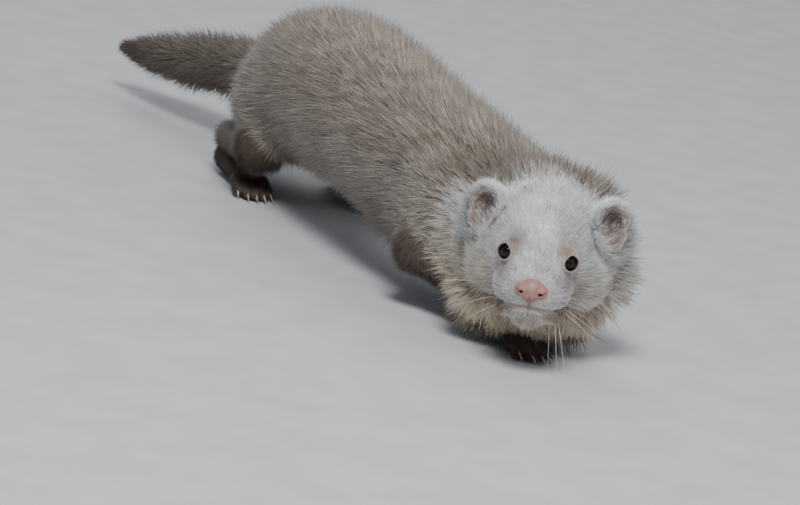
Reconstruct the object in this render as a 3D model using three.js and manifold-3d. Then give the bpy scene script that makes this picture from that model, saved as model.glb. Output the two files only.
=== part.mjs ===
// A life-size ferret in a low walking stance, its head turned to its right. Millimetres, +Z up.
// The ferret faces -Y and stands on four flat soles at Z = 0. Its left is +X.
// Every surface is the outline of the coat at the tips of the hair.
import * as THREE from "three";
import { mergeVertices } from "three/addons/utils/BufferGeometryUtils.js";
import Module from "manifold-3d";

const wasm = await Module();
wasm.setup();

// Driving sizes
const eyeHeight = 44; // the point midway between the eyes, above the floor
const headTurn = THREE.MathUtils.degToRad(27); // to the ferret's right
const gap = 0.3; // between pieces that touch
const eyeRadius = 4;
const earWide = 7.6; // half the width of an ear's cup
const earHigh = 9.4; // half its height
const earDeep = 5.5;
const earWall = 1.5;
const neckCut = 40; // where the head ends and the neck begins, along Y
const chestCut = 70; // where the neck ends and the torso begins
const tailCut = 308; // where the torso ends and the tail begins
const clawLength = 7.5;
const ruffDepth = 5; // from the tips of the ruff's locks down to its core
const brushDepth = 5.5; // the same on the tail
const brushEnd = 436; // where the tail's core ends, and only locks go on

// The trunk from inside the head to the tip of the tail: the middle of each section, its half width,
// and how far it reaches above and below its middle.
const trunkSections = [
  { y: 16, x: 8, z: 40, wide: 16, above: 16, below: 16 },
  { y: 34, x: 15, z: 39.5, wide: 28, above: 30, below: 34 },
  { y: 48, x: 14, z: 39.5, wide: 31, above: 32, below: 36 },
  { y: 66, x: 11.5, z: 41, wide: 32, above: 33, below: 37 },
  { y: 90, x: 8, z: 44.5, wide: 33, above: 34.5, below: 37.5 },
  { y: 120, x: 3, z: 49.5, wide: 32, above: 35.5, below: 37 },
  { y: 155, x: -1, z: 55, wide: 31.5, above: 36, below: 36 },
  { y: 192, x: -2, z: 57.5, wide: 32.5, above: 36, below: 37 },
  { y: 228, x: 0.5, z: 56, wide: 34.5, above: 34.5, below: 37 },
  { y: 258, x: 4, z: 52.5, wide: 33, above: 32, below: 35 },
  { y: 284, x: 6.5, z: 48.5, wide: 26, above: 26, below: 27 },
  { y: 303, x: 8, z: 45, wide: 17.5, above: 17, below: 18 },
  { y: 318, x: 8, z: 42.5, wide: 14, above: 13.5, below: 14 },
  { y: 345, x: 5.5, z: 37.5, wide: 15, above: 14.5, below: 15 },
  { y: 380, x: -1.5, z: 31.5, wide: 14.5, above: 14, below: 14.5 },
  { y: 413, x: -11, z: 26, wide: 11, above: 11, below: 11 },
  { y: 437, x: -18, z: 23, wide: 6, above: 6, below: 6 },
  { y: 450, x: -22, z: 22, wide: 1.5, above: 1.5, below: 1.5 },
];

const v3 = (x, y, z) => new THREE.Vector3(x, y, z);
const clamp = THREE.MathUtils.clamp;
const mix = THREE.MathUtils.lerp;
const forward = v3(0, -1, 0);

// Fields: the distance from a point to a form, negative inside it

// Two forms run together with a soft fillet of size k.
function blend(a, b, k) {
  const h = Math.max(k - Math.abs(a - b), 0) / k;
  return Math.min(a, b) - (h * h * k) / 4;
}

function ellipsoid(p, centre, radii) {
  const q = p.clone().sub(centre).divide(radii);
  const near = q.length();
  return (near * (near - 1)) / Math.max(q.divide(radii).length(), 1e-6);
}

// A limb with round ends, of radius ra at a and rb at b.
function limb(p, a, b, ra, rb) {
  const along = b.clone().sub(a);
  const t = clamp(p.clone().sub(a).dot(along) / along.lengthSq(), 0, 1);
  return p.distanceTo(a.clone().addScaledVector(along, t)) - mix(ra, rb, t);
}

// One value of the trunk table at y, on a smooth curve through the sections.
function trunkValue(y, key) {
  const s = trunkSections;
  let i = 0;
  while (i < s.length - 2 && y > s[i + 1].y) i++;
  const slope = (j) => {
    const a = s[Math.max(j - 1, 0)];
    const b = s[Math.min(j + 1, s.length - 1)];
    return (b[key] - a[key]) / (b.y - a.y);
  };
  const h = s[i + 1].y - s[i].y;
  const t = clamp((y - s[i].y) / h, 0, 1);
  const t2 = t * t;
  const t3 = t2 * t;
  return (
    (2 * t3 - 3 * t2 + 1) * s[i][key] +
    (t3 - 2 * t2 + t) * h * slope(i) +
    (3 * t2 - 2 * t3) * s[i + 1][key] +
    (t3 - t2) * h * slope(i + 1)
  );
}

const trunkMiddle = (y) => v3(trunkValue(y, "x"), y, trunkValue(y, "z"));

function trunkField(p) {
  const first = trunkSections[0].y;
  const last = trunkSections[trunkSections.length - 1].y;
  const y = clamp(p.y, first, last);
  const dx = p.x - trunkValue(y, "x");
  const dz = p.z - trunkValue(y, "z");
  const high = trunkValue(y, dz > 0 ? "above" : "below");
  const out = Math.hypot(dx, dz);
  const share = Math.hypot(dx / trunkValue(y, "wide"), dz / high);
  const d = share < 1e-6 ? -high : out - out / share;
  return p.y === y ? d : Math.hypot(Math.max(d, 0), p.y - y);
}

// Head, in its own frame: X to its left, -Y ahead, +Z up, from the point midway between the eyes.
const ahead = (side, forward, up) => v3(side, -forward, up);

function headField(p) {
  const m = v3(Math.abs(p.x), p.y, p.z); // both sides are alike
  const skull = ellipsoid(p, ahead(0, -21, 3.5), v3(23.5, 29, 23));
  const ruff = ellipsoid(p, ahead(3, -31, -4.8), v3(36.8, 18, 35.8));
  const cheek = ellipsoid(m, ahead(13, -13, -7), v3(13.5, 15, 14));
  const brow = ellipsoid(p, ahead(0, 0, 0.5), v3(14, 16, 11.5));
  const muzzle = limb(p, ahead(0, 0, -5.5), ahead(0, 16.5, -9.2), 13.2, 8.2);
  const pad = ellipsoid(m, ahead(6.6, 11.6, -11), v3(7.3, 9.6, 6.1));
  const jaw = limb(p, ahead(0, -14, -13), ahead(0, 12.5, -16.2), 12, 6.4);
  const bib = ellipsoid(p, ahead(-3, -22, -22), v3(26, 12.5, 14));
  const face = blend(blend(blend(skull, cheek, 9), brow, 8), muzzle, 7);
  return blend(blend(blend(blend(face, pad, 5), jaw, 4), ruff, 14), bib, 9);
}

const headFrame = new THREE.Matrix4().makeRotationZ(-headTurn).setPosition(0, 0, eyeHeight);
const toHead = headFrame.clone().invert();
const headInWorld = (p) => headField(p.clone().applyMatrix4(toHead));
const bodyField = (p) => blend(trunkField(p), headInWorld(p), 10);

// The shoulder and haunch muscles that swell the torso on each side of its middle.
function torsoField(p) {
  let d = bodyField(p);
  for (const side of [-1, 1]) {
    const shoulder = v3(9 + side * 20, 86, 40);
    const haunch = v3(3 + side * 20, 248, 41);
    d = blend(d, ellipsoid(p, shoulder, v3(14, 21, 25)), 9);
    d = blend(d, ellipsoid(p, haunch, v3(18.5, 31, 25)), 9);
  }
  return d;
}

// The core under the locks. It comes up to the outline where the coat is short.

const smooth = (t) => THREE.MathUtils.smoothstep(t, 0, 1);
const earBase = (side) => ahead(side * 24, -14, 13);

function headDepth(p) {
  const m = v3(Math.abs(p.x), p.y, p.z);
  return ruffDepth * smooth((p.y - 10) / 12) * smooth((m.distanceTo(earBase(1)) - 13) / 8);
}

const neckDepth = (y) => ruffDepth * smooth((chestCut - y) / 22);

function tailDepth(y) {
  return Math.min(brushDepth * smooth((y - tailCut - 4) / 20), trunkValue(y, "wide") * 0.42);
}

// Surfaces: a three.js geometry whose points are moved out to where a field crosses zero

function reach(field, from, direction, limit) {
  let t = 0;
  let d = field(from);
  while (d < -0.01 && t < limit) {
    t += Math.max(-d * 0.6, 0.05);
    d = field(from.clone().addScaledVector(direction, t));
  }
  return Math.min(t, limit);
}

function moved(geometry, place) {
  const bare = geometry.clone();
  bare.deleteAttribute("normal");
  bare.deleteAttribute("uv");
  const merged = mergeVertices(bare, 1e-4);
  const at = merged.attributes.position;
  for (let i = 0; i < at.count; i++) {
    const p = place(v3().fromBufferAttribute(at, i));
    at.setXYZ(i, p.x, p.y, p.z);
  }
  return merged;
}

// A ball that swells from its middle until it meets the field. Its rows crowd towards the pole it aims.
function wrapBall(field, middle, aim, columns, rows, limit, crowd = 1) {
  const turn = new THREE.Quaternion().setFromUnitVectors(v3(0, 1, 0), aim.clone().normalize());
  return moved(new THREE.SphereGeometry(1, columns, rows), (p) => {
    const around = Math.atan2(p.z, p.x);
    const lean = Math.PI * Math.pow(Math.acos(clamp(p.y, -1, 1)) / Math.PI, crowd);
    const ring = Math.sin(lean);
    const out = v3(ring * Math.cos(around), Math.cos(lean), ring * Math.sin(around)).applyQuaternion(turn);
    return middle.clone().addScaledVector(out, reach(field, middle, out, limit));
  });
}

// A length of the trunk between two cuts square to Y.
function wrapTrunk(field, from, to, rings, sides, limit) {
  return moved(new THREE.CylinderGeometry(1, 1, 1, sides, rings), (p) => {
    const middle = trunkMiddle(mix(from, to, p.y + 0.5));
    const out = v3(p.x, 0, p.z);
    if (out.length() < 0.5) return middle;
    out.normalize();
    return middle.clone().addScaledVector(out, reach(field, middle, out, limit));
  });
}

// A frame square to a path at t: its point, the way on, and two ways out.
function frameAt(path, t, side) {
  const point = path.getPoint(t);
  const on = path.getTangent(t);
  const a = side.clone().addScaledVector(on, -side.dot(on)).normalize();
  return { point, on, a, b: a.clone().cross(on) };
}

// A tube along a path. half(t) gives its half width along `side` and its half thickness.
function tube(path, side, half, rings, sides) {
  return moved(new THREE.CylinderGeometry(1, 1, 1, sides, rings), (p) => {
    const t = p.y + 0.5;
    const f = frameAt(path, t, side);
    const [wide, thick] = half(t);
    return f.point.addScaledVector(f.a, p.x * wide).addScaledVector(f.b, p.z * thick);
  });
}

const curve = (...points) => new THREE.CatmullRomCurve3(points);

// A flat lock with a pointed tip, on a path that lies along its node.
function lockShape(path, side, wide, thick) {
  return moved(new THREE.ConeGeometry(1, 1, 3, 3), (p) => {
    const t = p.y + 0.5;
    const f = frameAt(path, t, side);
    const own = Math.max(1 - t, 1e-6);
    const broad = wide * Math.sin(Math.PI * mix(0.3, 1, t));
    return f.point
      .addScaledVector(f.a, (p.x / own) * broad)
      .addScaledVector(f.b, (p.z / own) * thick * (1 - 0.6 * t));
  });
}

// Solids

function solid(geometry, matrix) {
  let g = geometry.clone();
  g.deleteAttribute("normal");
  g.deleteAttribute("uv");
  if (matrix) g.applyMatrix4(matrix);
  g = mergeVertices(g, 1e-4);
  return new wasm.Manifold(
    new wasm.Mesh({
      numProp: 3,
      vertProperties: g.attributes.position.array,
      triVerts: new Uint32Array(g.index.array),
    }),
  );
}

// The largest closed surface, so that a sealed hollow is filled and a loose scrap is dropped.
function largest(made) {
  return made.decompose().reduce((a, b) => (b.volume() > a.volume() ? b : a));
}

function join(first, others) {
  return others.reduce((all, next) => all.add(next), first);
}

// Locks in rows round an axis. Each rises from its root in the core and bends over to the outline at its tip.
// rows holds where the roots and the tips of each row lie, from 0 to 1 between the two ends of the span.
function lockRows({ axis, field, depth, span, rows, count, wide, thick, seed }) {
  let state = seed;
  const draw = (least, most) => {
    state = (state * 16807) % 2147483647;
    return mix(least, most, state / 2147483647);
  };
  const made = [];
  rows.forEach(([root, tip], row) => {
    for (let i = 0; i < count; i++) {
      const angle = ((i + (row % 2) / 2 + draw(-0.12, 0.12)) / count) * 2 * Math.PI;
      const twist = draw(-0.22, 0.22) * (wide / 6.5);
      const stretch = draw(-0.06, 0.04);
      const at = (t) => {
        const a = angle + twist * t * t;
        const out = v3(Math.cos(a), 0, Math.sin(a));
        const [start, end] = span(out);
        const middle = axis(mix(start, end, mix(root, tip + stretch, t)));
        const tips = reach(field, middle, out, 75);
        const deep = depth(middle.clone().addScaledVector(out, tips));
        const sunk = 2.4 * (1 - t) * (1 - t);
        return middle.addScaledVector(out, tips - deep * (1 - Math.pow(t, 0.8)) - sunk);
      };
      const path = curve(at(0), at(0.35), at(0.7), at(1));
      const side = v3(Math.sin(angle), 0, -Math.cos(angle));
      made.push(solid(lockShape(path, side, wide * draw(0.88, 1.08), thick)));
    }
  });
  return made;
}

const group = new THREE.Group();
group.name = "ferret";

function addNode(name, made, colour, roughness) {
  const mesh = largest(made).getMesh();
  const g = new THREE.BufferGeometry();
  g.setAttribute("position", new THREE.BufferAttribute(Float32Array.from(mesh.vertProperties), 3));
  g.setIndex(new THREE.BufferAttribute(Uint32Array.from(mesh.triVerts), 1));
  g.computeVertexNormals();
  const node = new THREE.Mesh(g, new THREE.MeshStandardMaterial({ color: colour, roughness, metalness: 0 }));
  node.name = name;
  group.add(node);
  return node;
}

// The cut between head and neck leans half way to the head's own turn. The slab fills what is behind it, or ahead.
function neckSlab(way) {
  const frame = new THREE.Matrix4().makeRotationZ(-headTurn / 2).setPosition(15.5, neckCut, 0);
  return solid(new THREE.BoxGeometry(400, 200, 400).translate(0, way * (100 - gap / 2), 50), frame);
}

const floorSlab = solid(new THREE.BoxGeometry(600, 1200, 100).translate(0, 200, -50));

const colours = {
  face: "#cfccc6",
  neck: "#b9ada0",
  body: "#8d7767",
  tail: "#6d5646",
  legs: "#5b473b",
  nose: "#c58d88",
  eye: "#120d0b",
  ear: "#b7a298",
};

// Legs and paws

const length = (field, from, to, rings, sides) =>
  solid(wrapTrunk(field, from + gap / 2, to - gap / 2, rings, sides, 60));
const torsoTube = (grow) => length((p) => torsoField(p) - grow, chestCut, tailCut, 24, 24);

const forelegs = {
  left: { shoulder: v3(27, 86, 46), elbow: v3(33, 92, 27), wrist: v3(27, 60, 11), paw: v3(24, 46, 5.4), turn: 3 },
  right: { shoulder: v3(-9, 80, 44), elbow: v3(-17, 76, 25), wrist: v3(3, 39, 10.5), paw: v3(8, 20, 5.4), turn: 10 },
};
const hindlegs = {
  left: { hip: v3(19, 246, 38), knee: v3(30, 231, 25), hock: v3(30, 279, 17), paw: v3(31, 244, 5.8), turn: 8 },
  right: { hip: v3(-12, 256, 38), knee: v3(-23, 242, 25), hock: v3(-21, 290, 17), paw: v3(-22, 255, 5.8), turn: -8 },
};
const forefoot = { heel: 5.9, palm: 6.4, long: 14.5, set: v3(0, -3, -4) };
const hindfoot = { heel: 6.6, palm: 6.9, long: 18, set: v3(0, -2, -9) };

function forelegField(leg) {
  return (p) => {
    const upper = limb(p, leg.shoulder, leg.elbow, 15, 9.8);
    const lower = limb(p, leg.elbow, leg.wrist, 9.8, 6.6);
    return blend(upper, lower, 6);
  };
}

function hindlegField(leg) {
  return (p) => {
    const thigh = limb(p, leg.hip, leg.knee, 17, 13);
    const shank = limb(p, leg.knee, leg.hock, 12.5, 7.6);
    return blend(thigh, shank, 7);
  };
}

// Five toes in a shallow arc, the middle ones furthest ahead.
function toes(leg, foot) {
  const turn = THREE.MathUtils.degToRad(leg.turn);
  return [-2, -1, 0, 1, 2].map((i) => {
    const spread = i * 3.5;
    const set = Math.abs(i) === 2 ? 5 : Math.abs(i) * 1.2;
    const place = (x, y, z) => v3(x, y, z).applyAxisAngle(v3(0, 0, 1), turn).add(leg.paw);
    const on = v3(i * 0.07, -1, 0).applyAxisAngle(v3(0, 0, 1), turn);
    return { root: place(spread * 0.8, -2, 0), tip: place(spread, set - foot.long, 2.8 - leg.paw.z), on };
  });
}

function pawField(leg, foot, heel) {
  const own = toes(leg, foot);
  return (p) => {
    let d = limb(p, heel, leg.paw, foot.heel, foot.palm);
    for (const toe of own) d = blend(d, limb(p, toe.root, toe.tip, 3.6, 2.9), 1.4);
    return d;
  };
}

function claw(toe, grow) {
  const start = toe.tip.clone().add(v3(0, 0.6, 0.6));
  const path = curve(
    start,
    start.clone().addScaledVector(toe.on, clawLength * 0.55).add(v3(0, 0, -0.7)),
    start.clone().addScaledVector(toe.on, clawLength + grow).add(v3(0, 0, -2.8)),
  );
  return solid(tube(path, v3(0, 0, 1), (t) => [mix(1.3, 0.3, t) + grow, mix(0.95, 0.22, t) + grow], 3, 4));
}

function pawSolid(leg, foot, grow) {
  const heel = (leg.wrist ?? leg.hock).clone().add(foot.set);
  const middle = leg.paw.clone().lerp(heel, foot === hindfoot ? 0.35 : 0);
  const field = pawField(leg, foot, heel);
  const ball = solid(wrapBall((p) => field(p) - grow, middle, forward, 20, 11, 45));
  return join(ball, toes(leg, foot).map((toe) => claw(toe, grow))).subtract(floorSlab);
}

// A leg swells from its bend, where both its lengths are in sight.
function legBall(field, bend, foot, grow) {
  const aim = foot.clone().sub(bend);
  return solid(wrapBall((p) => field(p) - grow, bend, aim, 14, 14, 75, 1.5));
}

const torsoGrown = torsoTube(gap);
const room = []; // what the head and neck leave free for the forelegs

for (const [name, leg] of Object.entries(forelegs)) {
  const pawGrown = pawSolid(leg, forefoot, gap);
  const bend = leg.elbow.clone().lerp(leg.shoulder, 0.1);
  const field = forelegField(leg);
  const whole = legBall(field, bend, leg.wrist, 0).subtract(torsoGrown).subtract(pawGrown);
  addNode("foreleg_" + name, whole, colours.legs, 0.9);
  addNode("forepaw_" + name, pawSolid(leg, forefoot, 0), colours.legs, 0.9);
  room.push(legBall(field, bend, leg.wrist, gap), pawGrown);
}
const forelegRoom = join(room[0], room.slice(1));

for (const [name, leg] of Object.entries(hindlegs)) {
  const pawGrown = pawSolid(leg, hindfoot, gap);
  const bend = leg.knee.clone().lerp(leg.hip, 0.1);
  const whole = legBall(hindlegField(leg), bend, leg.hock, 0).subtract(torsoGrown).subtract(pawGrown);
  addNode("hindleg_" + name, whole, colours.legs, 0.9);
  addNode("hindpaw_" + name, pawSolid(leg, hindfoot, 0), colours.legs, 0.9);
}

// Nose leather

const noseMiddle = ahead(0, 22.6, -8);

function noseField(p) {
  const m = v3(Math.abs(p.x), p.y, p.z);
  const bridge = ellipsoid(p, noseMiddle, v3(4.6, 3.4, 3.9));
  const wing = ellipsoid(m, ahead(3.4, 22.2, -8.6), v3(2.6, 3, 2.7));
  return blend(bridge, wing, 1.2);
}

function nostril(side) {
  const path = curve(
    ahead(side * 3.2, 27, -9.5),
    ahead(side * 3.7, 24.4, -9.2),
    ahead(side * 4.1, 22.8, -8.7),
  );
  return solid(tube(path, v3(1, 0, 0), () => [0.95, 0.7], 2, 8));
}

const noseBall = (grow) => solid(wrapBall((p) => noseField(p) - grow, noseMiddle, forward, 18, 13, 9));
const philtrum = solid(
  tube(curve(ahead(0, 27.2, -8.6), ahead(0, 25.6, -11), ahead(0, 23.6, -14.4)), v3(1, 0, 0), () => [0.35, 0.9], 4, 6),
);

// Eyes and lids

const eyeLook = (side) => ahead(side * 0.57, 0.8, 0.12).normalize();

// Each eye sits just proud of the coat round it.
function eyeMiddle(side) {
  const from = ahead(side * 0.1, -8, -1);
  const look = eyeLook(side);
  return from.clone().addScaledVector(look, reach(headField, from, look, 40) - eyeRadius + 1.3);
}

const eyeBall = (side, r) =>
  solid(new THREE.SphereGeometry(r, 14, 9), new THREE.Matrix4().setPosition(eyeMiddle(side)));

function lids(side) {
  const turn = new THREE.Quaternion().setFromUnitVectors(v3(0, 0, 1), eyeLook(side));
  const at = eyeMiddle(side).addScaledVector(eyeLook(side), 1.8);
  const ring = new THREE.TorusGeometry(3.75, 0.8, 5, 16);
  return solid(ring, new THREE.Matrix4().compose(at, turn, v3(1, 1, 1)));
}

// Mouth: the line between the lips, and the lower lip under it

function lipPath(out, drop) {
  const points = [];
  for (let i = -4; i <= 4; i++) {
    const side = i * 2.9;
    const curl = Math.abs(i) / 4;
    const from = ahead(side * 0.5, 2, -15.2 - drop - 1.8 * Math.sin(curl * 2.6));
    const way = ahead(side * 1.3, 13.5 * (1 - curl * curl * 0.65), 0).normalize();
    const onSkin = reach(headField, from, way, 30);
    points.push(from.clone().addScaledVector(way, onSkin + out));
  }
  return new THREE.CatmullRomCurve3(points);
}

const lowerLip = solid(
  tube(lipPath(-1, 1.5), v3(0, 0, 1), (t) => [0.3 + Math.sin(Math.PI * t), 0.3 + 1.3 * Math.sin(Math.PI * t)], 14, 7),
);
const mouthLine = solid(tube(lipPath(0, 0), v3(0, 0, 1), () => [0.38, 1.2], 16, 5));

// Ears: a shallow cup with a rounded rim, sunk in the coat, that opens ahead and outwards

function earCup(side, grow, hollow) {
  const profile = [];
  const arc = (r, deep, from, to, steps) => {
    for (let i = 0; i <= steps; i++) {
      const a = mix(from, to, i / steps) * (Math.PI / 2);
      profile.push(new THREE.Vector2(r * Math.sin(a), -deep * Math.cos(a)));
    }
  };
  arc(1 + grow / earWide, earDeep + grow, 0, 1, 4);
  if (hollow) {
    profile.push(new THREE.Vector2(1 - (0.4 * earWall) / earWide, 0.9));
    arc(1 - earWall / earWide, earDeep - earWall, 1, 0, 3);
  } else {
    profile.push(new THREE.Vector2(0.75, 6), new THREE.Vector2(0.4, 11), new THREE.Vector2(0, 11));
  }
  profile[0].x = 0;
  profile[profile.length - 1].x = 0;
  const look = ahead(side * 0.55, 0.8, 0.15).normalize();
  const turn = new THREE.Quaternion().setFromUnitVectors(v3(0, 1, 0), look);
  const from = side > 0 ? ahead(13.6, -32, 8.3) : ahead(-10.6, -32, 6.8);
  const at = from.clone().addScaledVector(look, reach(headField, from, look, 60) + 0.5);
  return solid(new THREE.LatheGeometry(profile, 18), new THREE.Matrix4().compose(at, turn, v3(earWide, 1, earHigh)));
}

// Head

const inHead = (p) => bodyField(p.clone().applyMatrix4(headFrame));
const ruffLocks = lockRows({
  axis: (y) => v3(2, y, -4),
  field: inHead,
  depth: headDepth,
  span: (out) => [12, 43.7 + 0.24 * 34 * out.x],
  rows: [
    [0, 0.56],
    [0.24, 0.77],
    [0.48, 0.97],
  ],
  count: 11,
  wide: 7.6,
  thick: 2,
  seed: 2711,
});

function headSolid() {
  const core = (p) => inHead(p) + headDepth(p);
  const ball = solid(wrapBall(core, ahead(0, -8, -4), forward, 30, 26, 70, 1.2));
  let made = join(ball, [lowerLip, lids(-1), lids(1), ...ruffLocks]);
  made = made.subtract(mouthLine).subtract(noseBall(gap)).subtract(philtrum);
  for (const side of [-1, 1]) {
    made = made.subtract(eyeBall(side, eyeRadius + gap));
    made = made.subtract(earCup(side, gap, false));
  }
  return made;
}

function inWorld(made) {
  return made.transform(headFrame.elements);
}

const head = inWorld(headSolid()).subtract(neckSlab(1)).subtract(forelegRoom);
addNode("head", head, colours.face, 0.9);

let nose = noseBall(0).subtract(philtrum);
for (const side of [-1, 1]) nose = nose.subtract(nostril(side));
addNode("nose", inWorld(nose), colours.nose, 0.45);

for (const [name, side] of [["left", 1], ["right", -1]]) {
  addNode("eye_" + name, inWorld(eyeBall(side, eyeRadius)), colours.eye, 0.08);
  addNode("ear_" + name, inWorld(earCup(side, 0, true)), colours.ear, 0.9);
}

// Neck, torso and tail

const neckTube = length((p) => torsoField(p) + neckDepth(p.y), neckCut - 12, chestCut, 8, 26);
const neckLocks = lockRows({
  axis: trunkMiddle,
  field: torsoField,
  depth: (p) => neckDepth(p.y),
  span: (out) => [neckCut - 0.24 * 32 * out.x, chestCut - 0.5],
  rows: [
    [0.04, 0.62],
    [0.36, 0.95],
  ],
  count: 11,
  wide: 7.4,
  thick: 2,
  seed: 905,
});
const neck = join(neckTube, neckLocks).subtract(neckSlab(-1)).subtract(forelegRoom);
addNode("neck", neck, colours.neck, 0.9);
addNode("torso", torsoTube(0), colours.body, 0.9);

const tailEnd = trunkSections[trunkSections.length - 1].y;
const tailCore = length((p) => trunkField(p) + tailDepth(p.y), tailCut, brushEnd, 12, 14);
const brush = lockRows({
  axis: trunkMiddle,
  field: trunkField,
  depth: (p) => tailDepth(p.y),
  span: () => [tailCut, tailEnd],
  rows: [
    [0.06, 0.29],
    [0.2, 0.43],
    [0.34, 0.58],
    [0.48, 0.73],
    [0.63, 0.87],
    [0.77, 0.97],
  ],
  count: 7,
  wide: 4.9,
  thick: 1.8,
  seed: 1466,
});
addNode("tail", join(tailCore, brush), colours.tail, 0.9);

// The origin is under the middle of the model, on the floor.
const box = new THREE.Box3().setFromObject(group);
const middle = box.getCenter(v3());
group.position.set(-middle.x, -middle.y, -box.min.z);

export default group;
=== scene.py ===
import math
import bpy
import numpy as np
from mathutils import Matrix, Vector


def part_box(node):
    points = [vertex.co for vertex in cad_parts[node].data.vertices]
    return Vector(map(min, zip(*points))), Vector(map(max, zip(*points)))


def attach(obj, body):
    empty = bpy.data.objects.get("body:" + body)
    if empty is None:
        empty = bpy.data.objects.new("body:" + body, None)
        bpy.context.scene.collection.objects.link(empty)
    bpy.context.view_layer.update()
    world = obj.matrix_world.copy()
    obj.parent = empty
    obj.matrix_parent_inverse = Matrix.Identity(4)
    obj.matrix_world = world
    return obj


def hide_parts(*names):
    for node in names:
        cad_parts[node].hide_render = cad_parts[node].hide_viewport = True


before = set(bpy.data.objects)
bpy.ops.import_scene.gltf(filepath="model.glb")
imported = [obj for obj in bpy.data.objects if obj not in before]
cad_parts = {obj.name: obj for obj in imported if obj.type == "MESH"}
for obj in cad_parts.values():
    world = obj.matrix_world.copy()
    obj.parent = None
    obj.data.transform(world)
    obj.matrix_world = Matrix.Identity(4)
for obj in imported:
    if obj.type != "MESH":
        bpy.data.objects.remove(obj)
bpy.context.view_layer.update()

import openvdb
from mathutils import Matrix, Vector

# Everything is worked out in millimetres, with the point midway between the eyes above x = y = 0,
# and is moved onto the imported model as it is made.
# The animal faces -Y and its left is +X.

eyeHeight = 44
headTurn = math.radians(27)
eyeForward = 7.206  # how far the middles of the eyeballs lie ahead of the head's own zero
floorGap = 0.35  # the lowest that skin and coat go


def v(*numbers):
    return np.array(numbers, dtype=np.float32)


def norm(a):
    return np.linalg.norm(a, axis=-1)


def unit(a):
    return a / np.maximum(norm(a)[..., None], 1e-9)


def mix(a, b, t):
    return a + (b - a) * t


def smooth(t):
    t = np.clip(t, 0, 1)
    return t * t * (3 - 2 * t)


# Each new value takes over from those before it by its share
def takeOver(value, *rows):
    for new, share in rows:
        value = mix(value, new, share)
    return value


turnCos = math.cos(headTurn)
turnSin = math.sin(headTurn)


# The head's own directions are side, back and up, from the point between the eyes
def toHead(p):
    return np.stack([turnCos * p[..., 0] - turnSin * p[..., 1],
                     turnSin * p[..., 0] + turnCos * p[..., 1],
                     p[..., 2] - eyeHeight], -1)


def fromHead(h, lift=eyeHeight):
    return np.stack([turnCos * h[..., 0] + turnSin * h[..., 1],
                     -turnSin * h[..., 0] + turnCos * h[..., 1],
                     h[..., 2] + lift], -1)


# The same for directions
def toHeadTurn(n):
    return toHead(n) + v(0, 0, eyeHeight)


def fromHeadTurn(n):
    return fromHead(n, 0)


def ahead(side, forward, up):
    return v(side, -forward, up)


def boxMiddle(node):
    low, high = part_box(node)
    return (np.array(low) + np.array(high)) / 2 * 1000


eyeBoxes = (boxMiddle("eye_left") + boxMiddle("eye_right")) / 2
shift = eyeBoxes - fromHead(ahead(0, eyeForward, 0))
shift[2] = 0


def toFrame(p):
    return (np.asarray(p, dtype=np.float64) + shift) / 1000


def addObject(name, data):
    made = bpy.data.objects.new(name, data)
    bpy.context.scene.collection.objects.link(made)
    return made


print("place of the eyes' midpoint in the frame", shift)

# Camera: a long lens low in front of the animal, rolled a little, as in the photograph
camera = {"lens": 180, "sensor": 36, "turn": 24, "down": 12.9, "far": 1535, "right": 52.6, "up": 7.7, "roll": 9.8}


def makeCamera():
    turn = math.radians(camera["turn"])
    down = math.radians(camera["down"])
    on = Vector((math.sin(turn) * math.cos(down), math.cos(turn) * math.cos(down), -math.sin(down)))
    right = Vector((math.cos(turn), -math.sin(turn), 0))
    up = right.cross(on)
    eyes = Vector((0, 0, eyeHeight))
    place = eyes - on * camera["far"] - right * camera["right"] - up * camera["up"]
    basis = Matrix((right, up, -on)).transposed().to_4x4()
    data = bpy.data.cameras.new("camera")
    data.lens = camera["lens"]
    data.sensor_width = camera["sensor"]
    data.clip_end = 50
    made = addObject("camera", data)
    made.matrix_world = Matrix.Translation(toFrame(place)) @ basis @ Matrix.Rotation(
        math.radians(camera["roll"]), 4, "Z")
    bpy.context.scene.camera = made


makeCamera()


# Forms, as distances from a point in millimetres, negative inside


def blend(a, b, k):
    h = np.maximum(k - np.abs(a - b), 0) / k
    return np.minimum(a, b) - h * h * k / 4


def carve(a, b, k):
    return -blend(-a, b, k)


def ellipsoid(p, centre, radii):
    q = (p - centre) / radii
    near = norm(q)
    return near * (near - 1) / np.maximum(norm(q / radii), 1e-6)


def limbShare(p, a, b):
    on = b - a
    return np.clip(((p - a) @ on) / (on @ on), 0, 1)


def limb(p, a, b, ra, rb):
    t = limbShare(p, a, b)
    return norm(p - a - t[..., None] * (b - a)) - mix(ra, rb, t)


def mirrored(h):
    return np.stack([np.abs(h[..., 0]), h[..., 1], h[..., 2]], -1)


# Forms blended on one after another, each over so many mm. A paired one is there on both sides.
def formsField(h, forms):
    m = mirrored(h)
    d = None
    for form in forms.values():
        q = m if form.get("paired") else h
        if "radii" in form:
            part = ellipsoid(q, form["at"], form["radii"])
        else:
            part = limb(q, form["at"], form["end"], *form["thick"])
        d = part if d is None else blend(d, part, form["blend"])
    return d


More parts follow.
